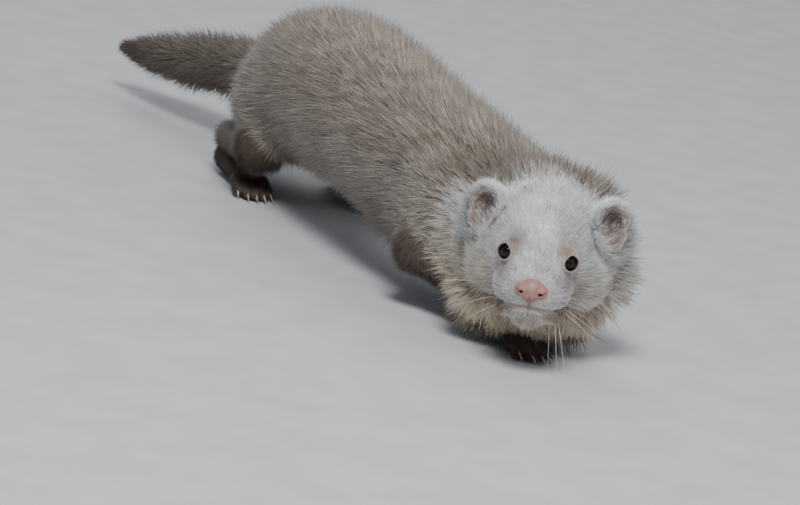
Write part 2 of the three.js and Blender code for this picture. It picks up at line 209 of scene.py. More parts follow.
# The trunk's sections: y, middle x, middle z, half width, reach above and below the middle
trunk = np.array([
    (16, 8, 40, 16, 16, 16), (34, 15, 39.5, 28, 30, 34), (48, 14, 39.5, 31, 32, 36),
    (66, 11.5, 41, 32, 33, 37), (90, 8, 44.5, 33, 34.5, 37.5), (120, 3, 49.5, 32, 35.5, 37),
    (155, -1, 55, 31.5, 36, 36), (192, -2, 57.5, 32.5, 36, 37), (228, 0.5, 56, 34.5, 34.5, 37),
    (258, 4, 52.5, 33, 32, 35), (284, 6.5, 48.5, 26, 26, 27), (303, 8, 45, 17.5, 17, 18),
    (318, 8, 42.5, 14, 13.5, 14), (345, 5.5, 37.5, 15, 14.5, 15), (380, -1.5, 31.5, 14.5, 14, 14.5),
    (413, -11, 26, 11, 11, 11), (437, -18, 23, 6, 6, 6), (450, -22, 22, 1.5, 1.5, 1.5)])


def smoothTable(rows, step):
    y = np.arange(rows[0, 0], rows[-1, 0] + step, step)
    y = np.minimum(y, rows[-1, 0])
    last = len(rows) - 1
    i = np.clip(np.searchsorted(rows[:, 0], y, side="right") - 1, 0, last - 1)
    slopes = np.array([(rows[min(j + 1, last)] - rows[max(j - 1, 0)])
                       / (rows[min(j + 1, last), 0] - rows[max(j - 1, 0), 0]) for j in range(last + 1)])
    h = rows[i + 1, 0] - rows[i, 0]
    t = ((y - rows[i, 0]) / h)[:, None]
    h = h[:, None]
    table = ((2 * t**3 - 3 * t**2 + 1) * rows[i] + (t**3 - 2 * t**2 + t) * h * slopes[i]
             + (3 * t**2 - 2 * t**3) * rows[i + 1] + (t**3 - t**2) * h * slopes[i + 1])
    table[:, 0] = y
    return table


trunkTable = smoothTable(trunk, 0.5)


def trunkAt(y):
    return [np.interp(y, trunkTable[:, 0], trunkTable[:, i]).astype(np.float32) for i in range(1, 6)]


def trunkField(p):
    y = np.clip(p[..., 1], trunk[0, 0], trunk[-1, 0])
    x, z, wide, above, below = trunkAt(y)
    dx = p[..., 0] - x
    dz = p[..., 2] - z
    high = np.where(dz > 0, above, below)
    out = np.hypot(dx, dz)
    share = np.maximum(np.hypot(dx / wide, dz / high), 1e-4)
    d = out - out / share
    past = np.abs(p[..., 1] - y)
    return np.where(past > 0, np.hypot(np.maximum(d, 0), past), d)


headForms = {
    "skull": {"at": ahead(0, -21, 3.5), "radii": v(23.5, 29, 23)},
    "cheeks": {"at": ahead(13, -13, -7), "radii": v(13.5, 15, 14), "blend": 9, "paired": True},
    "brow": {"at": ahead(0, 0, 0.5), "radii": v(14, 16, 11.5), "blend": 8},
    "muzzle": {"at": ahead(0, 0, -5.5), "end": ahead(0, 16.5, -9.2), "thick": (13.2, 8.2), "blend": 7},
    "pads": {"at": ahead(6.6, 11.6, -11), "radii": v(7.3, 9.6, 6.1), "blend": 8.5, "paired": True},
    "jaw": {"at": ahead(0, -14, -13), "end": ahead(0, 12.5, -16.2), "thick": (12, 6.4), "blend": 7},
    "ruff": {"at": ahead(3, -31, -4.8), "radii": v(36.8, 18, 35.8), "blend": 14},
    "bib": {"at": ahead(-4.5, -22, -23), "radii": v(27.5, 12.5, 14.3), "blend": 9},
}

# Swellings on both sides of the trunk, and the rows from y to y within which each has a say
swellings = [
    {"at": v(9, 86, 40), "out": 20, "radii": v(14, 21, 25), "rows": (45, 125)},
    {"at": v(3, 248, 41), "out": 20, "radii": v(18.5, 31, 25), "rows": (195, 300)},
]
rowsEnd = {"head": 80, "ears": 44, "face": 12}  # the last y at which each has a say


def headField(h):
    return formsField(h, headForms)


def bodyOutline(p, low=-99.0, high=999.0):
    d = trunkField(p)
    if low < rowsEnd["head"]:
        d = blend(d, headField(toHead(p)), 10)
    for side in (-1, 1):
        for one in swellings:
            if low < one["rows"][1] and high > one["rows"][0]:
                d = blend(d, ellipsoid(p, one["at"] + v(side * one["out"], 0, 0), one["radii"]), 9)
    return d


# Legs: the places of their joints, and how far the paw is turned, in degrees
forelegs = [
    {"top": v(27, 86, 46), "bend": v(33, 92, 27), "low": v(27, 60, 11), "paw": v(24, 46, 5.4), "turn": 3},
    {"top": v(-9, 80, 44), "bend": v(-17, 76, 25), "low": v(3, 39, 10.5), "paw": v(8, 20, 5.4), "turn": 10},
]
hindlegs = [
    {"top": v(19, 246, 38), "bend": v(30, 231, 25), "low": v(30, 279, 17), "paw": v(31, 244, 5.8), "turn": 8},
    {"top": v(-12, 256, 38), "bend": v(-23, 242, 25), "low": v(-21, 290, 17), "paw": v(-22, 255, 5.8), "turn": -8},
]
for leg in forelegs:
    leg.update(radii=(15, 9.8, 9.8, 6.6), heel=leg["low"] + v(0, -3, -4), long=14.5, foot=(5.9, 6.4))
for leg in hindlegs:
    leg.update(radii=(17, 13, 12.5, 7.6), heel=leg["low"] + v(0, -2, -9), long=18, foot=(6.6, 6.9))
legs = forelegs + hindlegs

# Toes, counted from the middle one: how far apart at root and tip, and how far back each tip stays
toe = {"rootGap": 2.8, "tipGap": 3.5, "rootAhead": 2, "tipBack": (0, 1.2, 5), "fan": 0.07, "tipHeight": 2.8,
       "thick": (3.6, 2.9), "blend": 1.4}


def addToes(leg):
    y = [leg[key][1] for key in ("top", "bend", "low", "heel", "paw")]
    leg["span"] = (min(y) - 32, max(y) + 20)  # the rows in which the leg has a say
    leg["toes"] = []
    turn = math.radians(leg["turn"])
    turned = np.array([(math.cos(turn), math.sin(turn), 0), (-math.sin(turn), math.cos(turn), 0), (0, 0, 1)])
    for i in range(-2, 3):
        root = leg["paw"] + v(i * toe["rootGap"], -toe["rootAhead"], 0) @ turned
        tip = leg["paw"] + v(i * toe["tipGap"], toe["tipBack"][abs(i)] - leg["long"],
                             toe["tipHeight"] - leg["paw"][2]) @ turned
        leg["toes"].append((v(*root), v(*tip), v(*(v(i * toe["fan"], -1, 0) @ turned))))


for leg in legs:
    addToes(leg)


def legField(p, leg):
    r = leg["radii"]
    return blend(limb(p, leg["top"], leg["bend"], r[0], r[1]), limb(p, leg["bend"], leg["low"], r[2], r[3]), 7)


def pawField(p, leg):
    d = limb(p, leg["heel"], leg["paw"], *leg["foot"])
    for root, tip, on in leg["toes"]:
        d = blend(d, limb(p, root, tip, *toe["thick"]), toe["blend"])
    return d


# How deep the skin lies under the tips of the coat. The tail's is a share of its half width.
deep = {"face": 1.1, "cheeks": 3.2, "neck": 4.6, "tail": 0.64, "leg": 3, "paw": 1.1}


def coatDepth(p):
    back = toHead(p)[..., 1]
    d = deep["face"] + deep["cheeks"] * smooth((back + 4) / 17) + deep["neck"] * smooth((back - 12) / 18)
    onTail = smooth((p[..., 1] - 296) / 30)
    return mix(d, deep["tail"] * trunkAt(p[..., 1])[2], onTail)


# Places on the head that its details grow from, found by walking out to the outline


def reach(start, way, limit=60):
    t = np.zeros(len(start), dtype=np.float32)
    for _ in range(80):
        d = headField(start + way * t[:, None])
        t = np.minimum(t + np.where(d < -0.01, np.maximum(-d * 0.6, 0.02), 0), limit)
    return start + way * t[:, None]


class Place:
    def __init__(self, side, start, look, beyond):
        self.side = side
        self.look = unit(look)
        self.at = reach(start[None], self.look[None])[0] + self.look * beyond
        self.across = unit(np.cross(v(0, 0, 1), self.look))
        self.up = np.cross(self.look, self.across)

    def inside(self, h):
        q = h - self.at
        return q @ self.across, q @ self.up, q @ self.look


# Eyes: half width and half height of the opening, then radii
eyeForm = {"opening": (3.05, 2.95), "narrow": 0.3, "radius": 4, "out": 1.3, "ball": 3.96, "cornea": 0.22,
           "socket": 4.08, "lid": 4.75, "lidRim": 0.55}
eyes = [Place(s, ahead(s * 0.1, -8, -1), ahead(s * 0.57, 0.8, 0.12), -eyeForm["radius"] + eyeForm["out"])
        for s in (1, -1)]


def eyeOpening(h, eye):
    a, b, c = eye.inside(h)
    wide, high = eyeForm["opening"]
    narrow = 1 - eyeForm["narrow"] * np.clip((b + 0.3) / 3.2, 0, 1) ** 2
    return (np.hypot(a / (wide * narrow), b / high) - 1) * 2.8, c


def addEye(d, h, eye):
    r = norm(h - eye.at)
    opening, c = eyeOpening(h, eye)
    rim = eyeForm["lidRim"] * np.exp(-((opening - 0.5) / 0.5) ** 2)
    d = blend(d, np.maximum(r - eyeForm["lid"] - rim, -c - 1), 2.4)
    d = np.maximum(d, eyeForm["socket"] - r)
    return np.where(c > 0, carve(d, opening, 0.3), d)


# Ears: radii of the cup, outside and inside, where its wall lies from its middle, and the ridge in it
earForm = {"outer": v(7.5, 9.5, 6.8), "inner": v(6.3, 8.3, 5.6), "innerUp": 0.2, "bottom": 6, "wall": (6.7, 3.4),
           "ridge": ((-1.5, -4.5, -4.4), (-2.6, 3.5, -3.4)), "ridgeThick": (1.3, 0.8)}
ears = [Place(s, start, ahead(s * 0.55, 0.8, 0.15), 0.5)
        for s, start in ((1, ahead(13.6, -32, 8.3)), (-1, ahead(-10.6, -32, 6.8)))]


def earShell(h, ear):
    a, b, c = ear.inside(h)
    q = np.stack([a, b, c], -1)
    rim = c - 0.5 + 0.06 * b
    outer = np.maximum(ellipsoid(q, v(0, 0, 0), earForm["outer"]), -earForm["bottom"] - c)
    inner = ellipsoid(q, v(0, 0, earForm["innerUp"]), earForm["inner"])
    return carve(outer, -rim, 1.2), inner, q


def addEar(d, h, ear):
    outer, inner, q = earShell(h, ear)
    d = carve(blend(d, outer, 2.2), inner, 0.8)
    start, end = [v(x * ear.side, y, z) for x, y, z in earForm["ridge"]]
    return blend(d, limb(q, start, end, *earForm["ridgeThick"]), 1.2)


# Nose, with the hole of the nostril, its tail at the side, and the groove below
noseForms = {
    "bridge": {"at": ahead(0, 22.6, -8), "radii": v(4.7, 3.4, 3.5)},
    "wings": {"at": ahead(3.6, 22.1, -8.7), "radii": v(2.6, 3.1, 2.5), "blend": 1, "paired": True},
    "tip": {"at": ahead(0, 22.6, -10.9), "radii": v(2.6, 2.9, 2.1), "blend": 1.2},
}
nostrils = [
    ([ahead(3.2, 27, -9.5), ahead(3.7, 24.4, -9.2), ahead(4.1, 22.6, -8.7)], (0.74, 0.6)),
    ([ahead(3.5, 25.2, -9.7), ahead(5.0, 24.7, -9.3), ahead(6.1, 23.3, -8.2)], (0.6, 0.42)),
]
noseGroove = (ahead(0, 26.9, -9.4), ahead(0, 23.6, -15.2), 0.22, 0.5)
lipGroove = (ahead(0, 25.6, -11.5), ahead(0, 23, -15.6), 0.5, 1.0)


def noseField(h):
    return formsField(h, noseForms)


def nostrilField(h):
    m = mirrored(h)
    return np.min([limb(m, path[i], path[i + 1], *thick) for path, thick in nostrils for i in range(2)], 0)


# Mouth: a row of points from corner to corner that curls down and up again to each side
mouth = {"points": 17, "gap": 1.2, "up": -15.2, "curl": 1.5, "curlTurn": 2.7, "fan": 2.9, "forward": 13.5,
         "sideways": 0.65, "line": (-0.6, 0.1), "lowerLip": (-1.3, 1.7), "lipEdge": (0, 1.2)}


def lipPath(out, drop):
    i = np.linspace(-4, 4, mouth["points"])
    side = np.abs(i) / 4
    start = np.stack([i * mouth["gap"], -2 + 0 * i,
                      mouth["up"] - drop - mouth["curl"] * np.sin(side * mouth["curlTurn"])], -1)
    way = unit(np.stack([i * mouth["fan"], -mouth["forward"] * (1 - side * side * mouth["sideways"]), 0 * i], -1))
    return reach(start, way, 30) + way * out


mouthPoints = lipPath(*mouth["line"])
lipPoints = lipPath(*mouth["lowerLip"])


def chain(h, points, radius):
    d = np.full(h.shape[:-1], 99.0, dtype=np.float32)
    for i in range(len(points) - 1):
        middle = abs(2 * (i + 0.5) / (len(points) - 1) - 1)
        d = np.minimum(d, limb(h, points[i], points[i + 1], *[radius * (1 - 0.45 * middle**2)] * 2))
    return d


def skinField(p, low=-99.0, high=999.0):
    d = bodyOutline(p, low, high) + coatDepth(p)
    for leg in legs:
        if low < leg["span"][1] and high > leg["span"][0]:
            d = blend(d, legField(p, leg) + deep["leg"], 7)
            d = blend(d, pawField(p, leg) + deep["paw"], 2.5)
    h = toHead(p)
    if low < rowsEnd["ears"]:
        for ear in ears:
            d = addEar(d, h, ear)
    if low < rowsEnd["face"]:
        d = blend(d, noseField(h), 0.9)
        d = carve(d, limb(h, *noseGroove), 0.8)
        d = carve(d, nostrilField(h), 0.45)
        d = carve(d, chain(h, mouthPoints, 0.5), 0.7)
        d = blend(d, chain(h, lipPoints, 0.95), 1.2)
        for eye in eyes:
            d = addEye(d, h, eye)
    return np.maximum(d, floorGap - p[..., 2])


# Skin: the field is sampled on a grid that narrows towards the nose, meshed, and its points drawn onto the field
skinGrid = {
    "across": 103, "high": 106, "rowsAtOnce": 12, "band": 3.0, "quickCoarser": 1.6,
    # from y, to y, step
    "rows": [(-30, -14, 0.27), (-14, 12, 0.42), (12, 46, 0.8), (46, 222, 3.1), (222, 300, 1.9), (300, 456, 3.1)],
    # y, middle x, half width, middle z, half height of the room that the grid takes up
    "room": np.array([
        (-30, -9, 12, 35, 12), (-22, -7, 15, 35, 14.5), (-14, -2, 21.5, 37, 20.5), (-4, 6, 27, 40, 33),
        (2, 9.5, 31, 44, 46), (8, 15, 36.5, 46, 48), (20, 14, 40, 48, 50), (60, 12, 41, 48, 50),
        (120, 4, 42, 48, 50), (310, 3, 43, 48, 50), (335, 4, 34, 40, 38), (456, -20, 22, 24, 22)]),
}


def gridPlaces(across, y, high):
    x, wide, z, tall = [np.interp(y, skinGrid["room"][:, 0], skinGrid["room"][:, i]) for i in range(1, 5)]
    return np.stack(np.broadcast_arrays(x + across * wide, y, z + high * tall), -1).astype(np.float32)


def fieldAndNormal(p, step=0.06):
    p = p.astype(np.float32)
    d = skinField(p)
    slope = np.stack([skinField(p + v(*(step if i == j else 0 for j in range(3)))) - d for i in range(3)], -1)
    return d, unit(slope)


def makeSkin():
    coarse = 1
    ys = [skinGrid["rows"][0][0]]
    for start, end, step in skinGrid["rows"]:
        while ys[-1] < end:
            ys.append(ys[-1] + step * coarse)
    ys = np.array(ys)
    across = np.linspace(-1, 1, int(skinGrid["across"] / coarse))
    high = np.linspace(-1, 1, int(skinGrid["high"] / coarse))
    field = np.empty((len(across), len(ys), len(high)), dtype=np.float32)
    some = skinGrid["rowsAtOnce"]
    for j in range(0, len(ys), some):
        rows = ys[j:j + some]
        p = gridPlaces(across[:, None, None], rows[None, :, None], high[None, None, :])
        field[:, j:j + some] = skinField(p, float(rows[0]), float(rows[-1]))
    band = skinGrid["band"]
    grid = openvdb.FloatGrid(band)
    grid.copyFromArray(np.clip(field, -band, band))
    points, triangles, quads = grid.convertToPolygons(isovalue=0.0, adaptivity=0.0)
    at = [np.interp(points[:, i], np.arange(len(axis)), axis) for i, axis in enumerate((across, ys, high))]
    p = gridPlaces(*at)
    for _ in range(3):
        d, n = fieldAndNormal(p)
        p = p - n * np.clip(d, -0.5, 0.5)[:, None] * 0.9
    return p, quads


skinPoints, skinQuads = makeSkin()
print("skin", len(skinPoints), "points", len(skinQuads), "quads")


# Soft noise from a few waves, with a fixed seed
def softNoise(p, size, seed):
    rng = np.random.default_rng(seed)
    total = 0
    for _ in range(5):
        way = unit(rng.normal(size=3)) * (2 * math.pi / size) * rng.uniform(0.6, 1.5)
        total = total + np.sin(p @ way.astype(np.float32) + rng.uniform(0, 6.3))
    return total / 3.2


# Which part of the animal a point of the skin belongs to
def nearestParts(p):
    h = toHead(p)
    outline = bodyOutline(p)
    body = outline + coatDepth(p)
    limbs = np.stack([legField(p, leg) + deep["leg"] for leg in legs], -1)
    paws = np.stack([pawField(p, leg) + deep["paw"] for leg in legs], -1)
    cups = np.stack([norm(h - ear.at) for ear in ears], -1)
    inLimb = smooth((body - limbs.min(-1) + 2.5) / 5) * smooth((outline + 4.5) / 4.5)
    inPaw = smooth((np.minimum(body, limbs.min(-1)) - paws.min(-1) + 1) / 2.5)
    nearWall = np.abs(cups.min(-1) - earForm["wall"][0]) < earForm["wall"][1]
    return {"h": h, "limb": inLimb, "paw": inPaw, "which": np.argmin(np.minimum(limbs, paws), -1), "cups": cups,
            "outline": outline, "ear": nearWall}


# Markings and painted shade shared by the skin and the coat. Each is a share from 0 to 1, worked out at the root of a
# hair.
# "tan" has the patches beside each eye: place from the eye's middle, size, share.
markingAndShade = {
    # Painted shade: the share behind the right ear darkens the pale coat there, and the right cheek's cream is set
    # stronger than the left's to stand for shade
    "trunkPale": 0.2, "shadeBehindEar": 0.35, "crown": 0.9, "crownDark": 0.5, "creamAndShadeRight": 0.7, "warmLeft": 0.52,
    "trunk": 0.06, "belly": 0.22, "tail": 0.6, "tailTip": 0.25, "shoulders": 0.3, "legs": 0.9, "eyeRing": 0.45,
    "tan": [(ahead(-2.8, 0.5, 4.2), v(4, 6, 4.8), 0.95), (ahead(-0.6, 4, -6.5), v(4.4, 6, 5), 0.75),
            (ahead(5, 1, -8), v(5.5, 6, 4.5), 0.5)],
}


def tanShare(p, h):
    tan = 0
    for eye in eyes:
        q = h - eye.at
        ring = np.exp(-((norm(q) - 4.4) / 1.1) ** 2) * markingAndShade["eyeRing"]
        for place, size, share in markingAndShade["tan"]:
            spot = norm((q - eye.look * 4 - place * v(eye.side, 1, 1)) / size)
            ring = np.maximum(ring, share * np.exp(-spot * spot))
        tan = np.maximum(tan, ring)
    return tan * (1 + 0.3 * softNoise(p, 3, 8))


def markingsAndShade(p, part):
    h = part["h"]
    forward = -h[..., 1]
    up = h[..., 2]
    side = h[..., 0]
    y = p[..., 1]
    x, z = trunkAt(y)[:2]
    dx = p[..., 0] - x
    dz = p[..., 2] - z
    low = smooth((-dz / np.maximum(np.hypot(dx, dz), 1)) * 1.4 - 0.25)
    patch = softNoise(p, 22, 5) * 0.5
    onHead = smooth((forward + 60 + patch * 6) / 20)
    # Painted shade: this share darkens the pale coat behind the animal's right ear, as if in shadow
    shadeBehindEar = smooth((-side - 24 + patch * 3) / 9) * smooth((-forward - 16) / 14)
    pale = markingAndShade["trunkPale"] + (1 - markingAndShade["trunkPale"]) * onHead * (1 - markingAndShade["shadeBehindEar"] * shadeBehindEar)
    behind = smooth((-forward - 21 + patch * 5) / 8) * smooth((up - 4) / 12)  # the brown crown
    crown = behind * smooth((26 - side) / 10)
    pale = pale * (1 - markingAndShade["crown"] * crown)
    under = smooth((-up - 13.5 + patch * 3) / 6.5)  # the golden throat
    gold = under * smooth((20 - forward - 4 * (up + 16.3)) / 12) * smooth((forward + 66) / 16)
    # Cream on the lower cheeks, real on both sides; its extra strength on the right cheek is painted shade
    creamAndShade = smooth((np.abs(side + 3) - 7) / 11) * smooth((3 - up) / 13) * smooth((10 - forward) / 10)
    gold = np.maximum(gold, creamAndShade * np.where(side < 0, markingAndShade["creamAndShadeRight"], markingAndShade["warmLeft"]) * onHead)
    dark = markingAndShade["trunk"] + markingAndShade["belly"] * low
    dark = dark + markingAndShade["tail"] * smooth((y - 290) / 60) + markingAndShade["tailTip"] * smooth((y - 395) / 35)
    dark = dark + markingAndShade["shoulders"] * smooth((42 - np.abs(y - 92)) / 30) * (1 - onHead) * (0.4 + 0.6 * low)
    dark = dark * (1 - onHead * (1 - under * 0.1))
    dark = np.maximum(dark, markingAndShade["crownDark"] * crown * smooth((forward + 70) / 20))
    dark = np.maximum(dark, part["limb"] * markingAndShade["legs"])
    dark = np.maximum(dark, part["paw"])
    return {"pale": pale * (1 - dark), "gold": gold * (1 - dark), "dark": np.clip(dark, 0, 1),
            "tan": np.clip(tanShare(p, h), 0, 1) * onHead}


# Materials
palette = {
    "paleTip": (0.9, 0.895, 0.89), "paleRoot": (0.47, 0.42, 0.38),
    "goldTip": (0.83, 0.7, 0.51), "goldRoot": (0.26, 0.165, 0.105),
    "bodyTip": (0.6, 0.51, 0.41), "bodyRoot": (0.7, 0.63, 0.53),
    "darkTip": (0.055, 0.036, 0.026), "darkRoot": (0.15, 0.1, 0.072),
    "tan": (0.33, 0.225, 0.165), "guard": (0.12, 0.078, 0.053),
    "nose": ((0.38, 0.19, 0.165), (0.48, 0.275, 0.225)), "flush": (0.5, 0.2, 0.17),
    # The dark line along the mouth is painted shade
    "inner": (0.3, 0.215, 0.178), "lips": (0.3, 0.17, 0.14), "mouthShade": (0.2, 0.1, 0.085),
    # The dark red of the nostrils' holes is painted shade
    "rim": (0.37, 0.29, 0.285), "lash": (0.03, 0.022, 0.022), "pads": (0.42, 0.27, 0.24), "hole": (0.12, 0.03, 0.028),
    "iris": ((0.02, 0.011, 0.007), (0.036, 0.02, 0.013)), "pupil": (0.004, 0.0035, 0.004),
    "claw": ((0.6, 0.5, 0.42), (0.78, 0.7, 0.62)), "floor": ((0.6, 0.6, 0.605), (0.66, 0.66, 0.665)),
}


def fillSocket(tree, socket, value):
    if isinstance(value, bpy.types.NodeSocket):
        tree.links.new(value, socket)
    elif isinstance(value, tuple) and len(value) == 3 and socket.type == "RGBA":
        socket.default_value = (*value, 1)
    else:
        socket.default_value = value


# A node with its settings made, and its inputs linked or set
def addNode(tree, kind, inputs=None, **settings):
    node = tree.nodes.new(kind)
    for key, value in settings.items():
        setattr(node, key, value)
    for key, value in (inputs or {}).items():
        fillSocket(tree, node.inputs[key], value)
    return node


class Paint:
    def __init__(self, name, roughness):
        self.material = bpy.data.materials.new(name)
        self.material.use_nodes = True
        self.tree = self.material.node_tree
        self.set(Roughness=roughness)

    def set(self, **values):
        for key, value in values.items():
            fillSocket(self.tree, self.tree.nodes["Principled BSDF"].inputs[key.replace("_", " ")], value)
        return self.material

    def add(self, kind, inputs=None, **settings):
        return addNode(self.tree, "ShaderNode" + kind, inputs, **settings)

    def share(self, name):
        return self.add("Attribute", attribute_name=name).outputs["Fac"]

    def mix(self, factor, a, b, way="MIX"):
        return self.add("Mix", data_type="RGBA", blend_type=way, inputs={"Factor": factor, 6: a, 7: b}).outputs[2]

    def sum(self, way, a, b):
        return self.add("Math", {0: a, 1: b}, operation=way).outputs[0]

    def level(self, value, low, high, start=0.0, end=1.0):
        levels = {"Value": value, "From Min": low, "From Max": high, "To Min": start, "To Max": end}
        return self.add("MapRange", levels, interpolation_type="SMOOTHSTEP").outputs[0]

    def place(self, stretch=None):
        place = self.add("TexCoord").outputs["Object"]
        return self.add("Mapping", {"Vector": place, "Scale": stretch}).outputs[0] if stretch else place

    def noise(self, scale, detail=3.0, stretch=None):
        inputs = {"Scale": scale, "Detail": detail, "Vector": self.place(stretch)}
        return self.add("TexNoise", inputs).outputs["Fac"]

    # A soft spread between two tones
    def mottle(self, scale, detail, tones, stretch=None, low=0.3, high=0.7):
        return self.mix(self.level(self.noise(scale, detail, stretch), low, high), *tones)

    def cells(self, scale):
        return self.add("TexVoronoi", {"Scale": scale, "Vector": self.place()}).outputs["Distance"]

    def bump(self, height, strength, distance):
        return self.add("Bump", {"Strength": strength, "Distance": distance, "Height": height}).outputs[0]

    # The colours of the coat, from the shares that each point of it carries
    def coatColour(self):
        tip = palette["bodyTip"]
        root = palette["bodyRoot"]
        for name in ("pale", "gold", "dark"):
            tip = self.mix(self.share(name), tip, palette[name + "Tip"])
            root = self.mix(self.share(name), root, palette[name + "Root"])
        colour = self.mix(self.level(self.share("along"), 0.08, 0.85), root, tip)
        colour = self.mix(self.share("tan"), colour, palette["tan"])
        colour = self.mix(self.sum("MULTIPLY", self.share("guard"), 0.85), colour, palette["guard"])
        tone = self.level(self.share("tone"), 0, 1, 0.6, 1.18)
        patch = self.level(self.noise(95, 2), 0.3, 0.7, 0.84, 1.1)
        return self.mix(1.0, colour, self.sum("MULTIPLY", tone, patch), "MULTIPLY")


def coatMaterial():
    paint = Paint("coat", 0.55)
    colour = paint.mix(paint.sum("MULTIPLY", paint.share("inner"), 0.9), paint.coatColour(), palette["inner"])
    return paint.set(Base_Color=colour, Specular_IOR_Level=0.25, Sheen_Weight=0.25, Sheen_Roughness=0.4)


def skinMaterial():
    paint = Paint("skin", 0.62)
    rosy = paint.mottle(420, 2, palette["nose"], None, 0.35, 0.65)
    rosy = paint.mix(paint.share("flush"), rosy, palette["flush"])
    colour = paint.mix(paint.share("nose"), paint.coatColour(), rosy)
    # Of these, the dark of the mouth's line and of the nostrils' holes is painted shade
    for name in ("inner", "lips", "mouthShade", "rim", "lash", "pads", "hole"):
        colour = paint.mix(paint.share(name), colour, palette[name])
    bare = paint.sum("MAXIMUM", paint.share("nose"), paint.share("rim"))
    leather = paint.sum("MULTIPLY", paint.cells(2300), 0.7)
    grain = paint.sum("ADD", leather, paint.noise(1500, 2))
    return paint.set(Base_Color=colour, Roughness=paint.level(bare, 0, 1, 0.7, 0.38), Specular_IOR_Level=0.45,
                     Normal=paint.bump(grain, 0.5, 0.00025))


def eyeMaterial():
    paint = Paint("eye", 0.06)
    depth = paint.level(paint.share("pupil"), 0.3, 0.75)
    return paint.set(Base_Color=paint.mix(depth, paint.mottle(900, 2, palette["iris"]), palette["pupil"]),
                     Coat_Weight=0.35, Coat_Roughness=0.03, IOR=1.38, Specular_IOR_Level=0.25)


def clawMaterial():
    paint = Paint("claw", 0.32)
    horn = paint.mottle(260, 2, palette["claw"], (1, 0.25, 1))
    return paint.set(Base_Color=horn, Coat_Weight=0.3, Coat_Roughness=0.2)


def whiskerMaterial(name, tone):
    paint = Paint(name, 0.35)
    return paint.set(Base_Color=paint.mottle(60, 1, (tone, tuple(c * 0.8 for c in tone))))


# Meshes from arrays


def addShares(mesh, shares, kind="FLOAT", field="value"):
    for key, values in shares.items():
        layer = mesh.attributes.new(key, kind, "POINT")
        layer.data.foreach_set(field, np.asarray(values, dtype=np.float32).ravel())


# order lists the points round every face, and starts says where in it each face begins
def meshFrom(name, points, order, starts, shares, uv=None, normals=None):
    mesh = bpy.data.meshes.new(name)
    mesh.vertices.add(len(points))
    mesh.vertices.foreach_set("co", toFrame(points).astype(np.float32).ravel())
    mesh.loops.add(len(order))
    mesh.loops.foreach_set("vertex_index", order.astype(np.int32))
    mesh.polygons.add(len(starts))
    mesh.polygons.foreach_set("loop_start", starts.astype(np.int32))
    mesh.update(calc_edges=True)
    mesh.shade_smooth()
    addShares(mesh, shares)
    if uv is not None:
        layer = mesh.uv_layers.new(name="OFBake")
        layer.data.foreach_set("uv", uv[order].astype(np.float32).ravel())
    if normals is not None:
        mesh.normals_split_custom_set_from_vertices(normals.astype(np.float32))
    return addObject(name, mesh)


def quadMesh(name, points, quads, shares):
    return meshFrom(name, points, quads.ravel(), np.arange(0, quads.size, 4), shares)


def vertexNormals(p, quads):
    n = np.cross(p[quads[:, 2]] - p[quads[:, 0]], p[quads[:, 3]] - p[quads[:, 1]])
    total = np.zeros_like(p)
    for i in range(4):
        for axis in range(3):
            total[:, axis] += np.bincount(quads[:, i], weights=n[:, axis], minlength=len(p))
    return unit(total)


skinNormals = vertexNormals(skinPoints, skinQuads)
skinPart = nearestParts(skinPoints.astype(np.float32))


# Where the skin is bare or has a colour of its own, with painted shade in the nostrils and along the mouth
def skinShares():
    p = skinPoints.astype(np.float32)
    h = skinPart["h"]
    inFront = p[:, 1] < 20
    shares = markingsAndShade(p, skinPart)
    for key, value in (("along", 0.3), ("tone", 0.5), ("guard", 0)):
        shares[key] = np.full(len(p), value)
    shares["nose"] = smooth((0.75 - noseField(h)) / 0.7) * smooth((-h[:, 1] - 19) / 1.6)
    hole = nostrilField(h)
    # Painted shade inside the nostrils' holes
    shares["hole"] = smooth((0.12 - hole) / 0.3) * shares["nose"]
    shares["flush"] = smooth((1.2 - hole) / 1.2) * shares["nose"] * 0.6
    line = chain(h, mouthPoints, 0.2)
    middle = smooth((0.9 - limb(h, *lipGroove)) / 0.7)
    lower = chain(h, lipPath(*mouth["lipEdge"]), 0.2)
    shares["lips"] = inFront * np.maximum(smooth((1.35 - np.minimum(line, lower + 0.4)) / 1.1), middle)
    # Painted shade along the mouth's line
    shares["mouthShade"] = inFront * smooth((0.45 - line) / 0.4)
    rim = np.zeros(len(p))
    lash = np.zeros(len(p))
    for eye in eyes:
        opening, c = eyeOpening(h, eye)
        near = (norm(h - eye.at) < 6) * (c > 0)
        rim = np.maximum(rim, near * smooth((0.8 - opening) / 0.5))
        lash = np.maximum(lash, near * smooth((0.16 - opening) / 0.24))
    inner = np.zeros(len(p))
    for ear in ears:
        outer, cup, q = earShell(h, ear)
        wide, high = earForm["inner"][:2]
        wall = np.hypot(q[..., 0] / wide, q[..., 1] / high) + 0.1 * softNoise(p, 4, 12)
        inCup = smooth((0.7 - cup) / 0.6) * (norm(q) < 10)
        inner = np.maximum(inner, inCup * smooth((1.16 - wall) / 0.2))
    under = smooth((-skinNormals[:, 2] - 0.55) / 0.3) * smooth((2.4 - p[:, 2]) / 1.2)
    shares.update(rim=rim, lash=lash, inner=inner, pads=under * smooth(skinPart["paw"] * 2))
    return shares


skinShare = skinShares()
skin = quadMesh("skin", skinPoints, skinQuads, skinShare)
skin.data.materials.append(skinMaterial())
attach(skin, "root")
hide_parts("head", "nose", "neck", "torso", "tail", "ear_left", "ear_right",
            *[kind + "_" + side for kind in ("foreleg", "forepaw", "hindleg", "hindpaw")
              for side in ("left", "right")])
print("skin made")


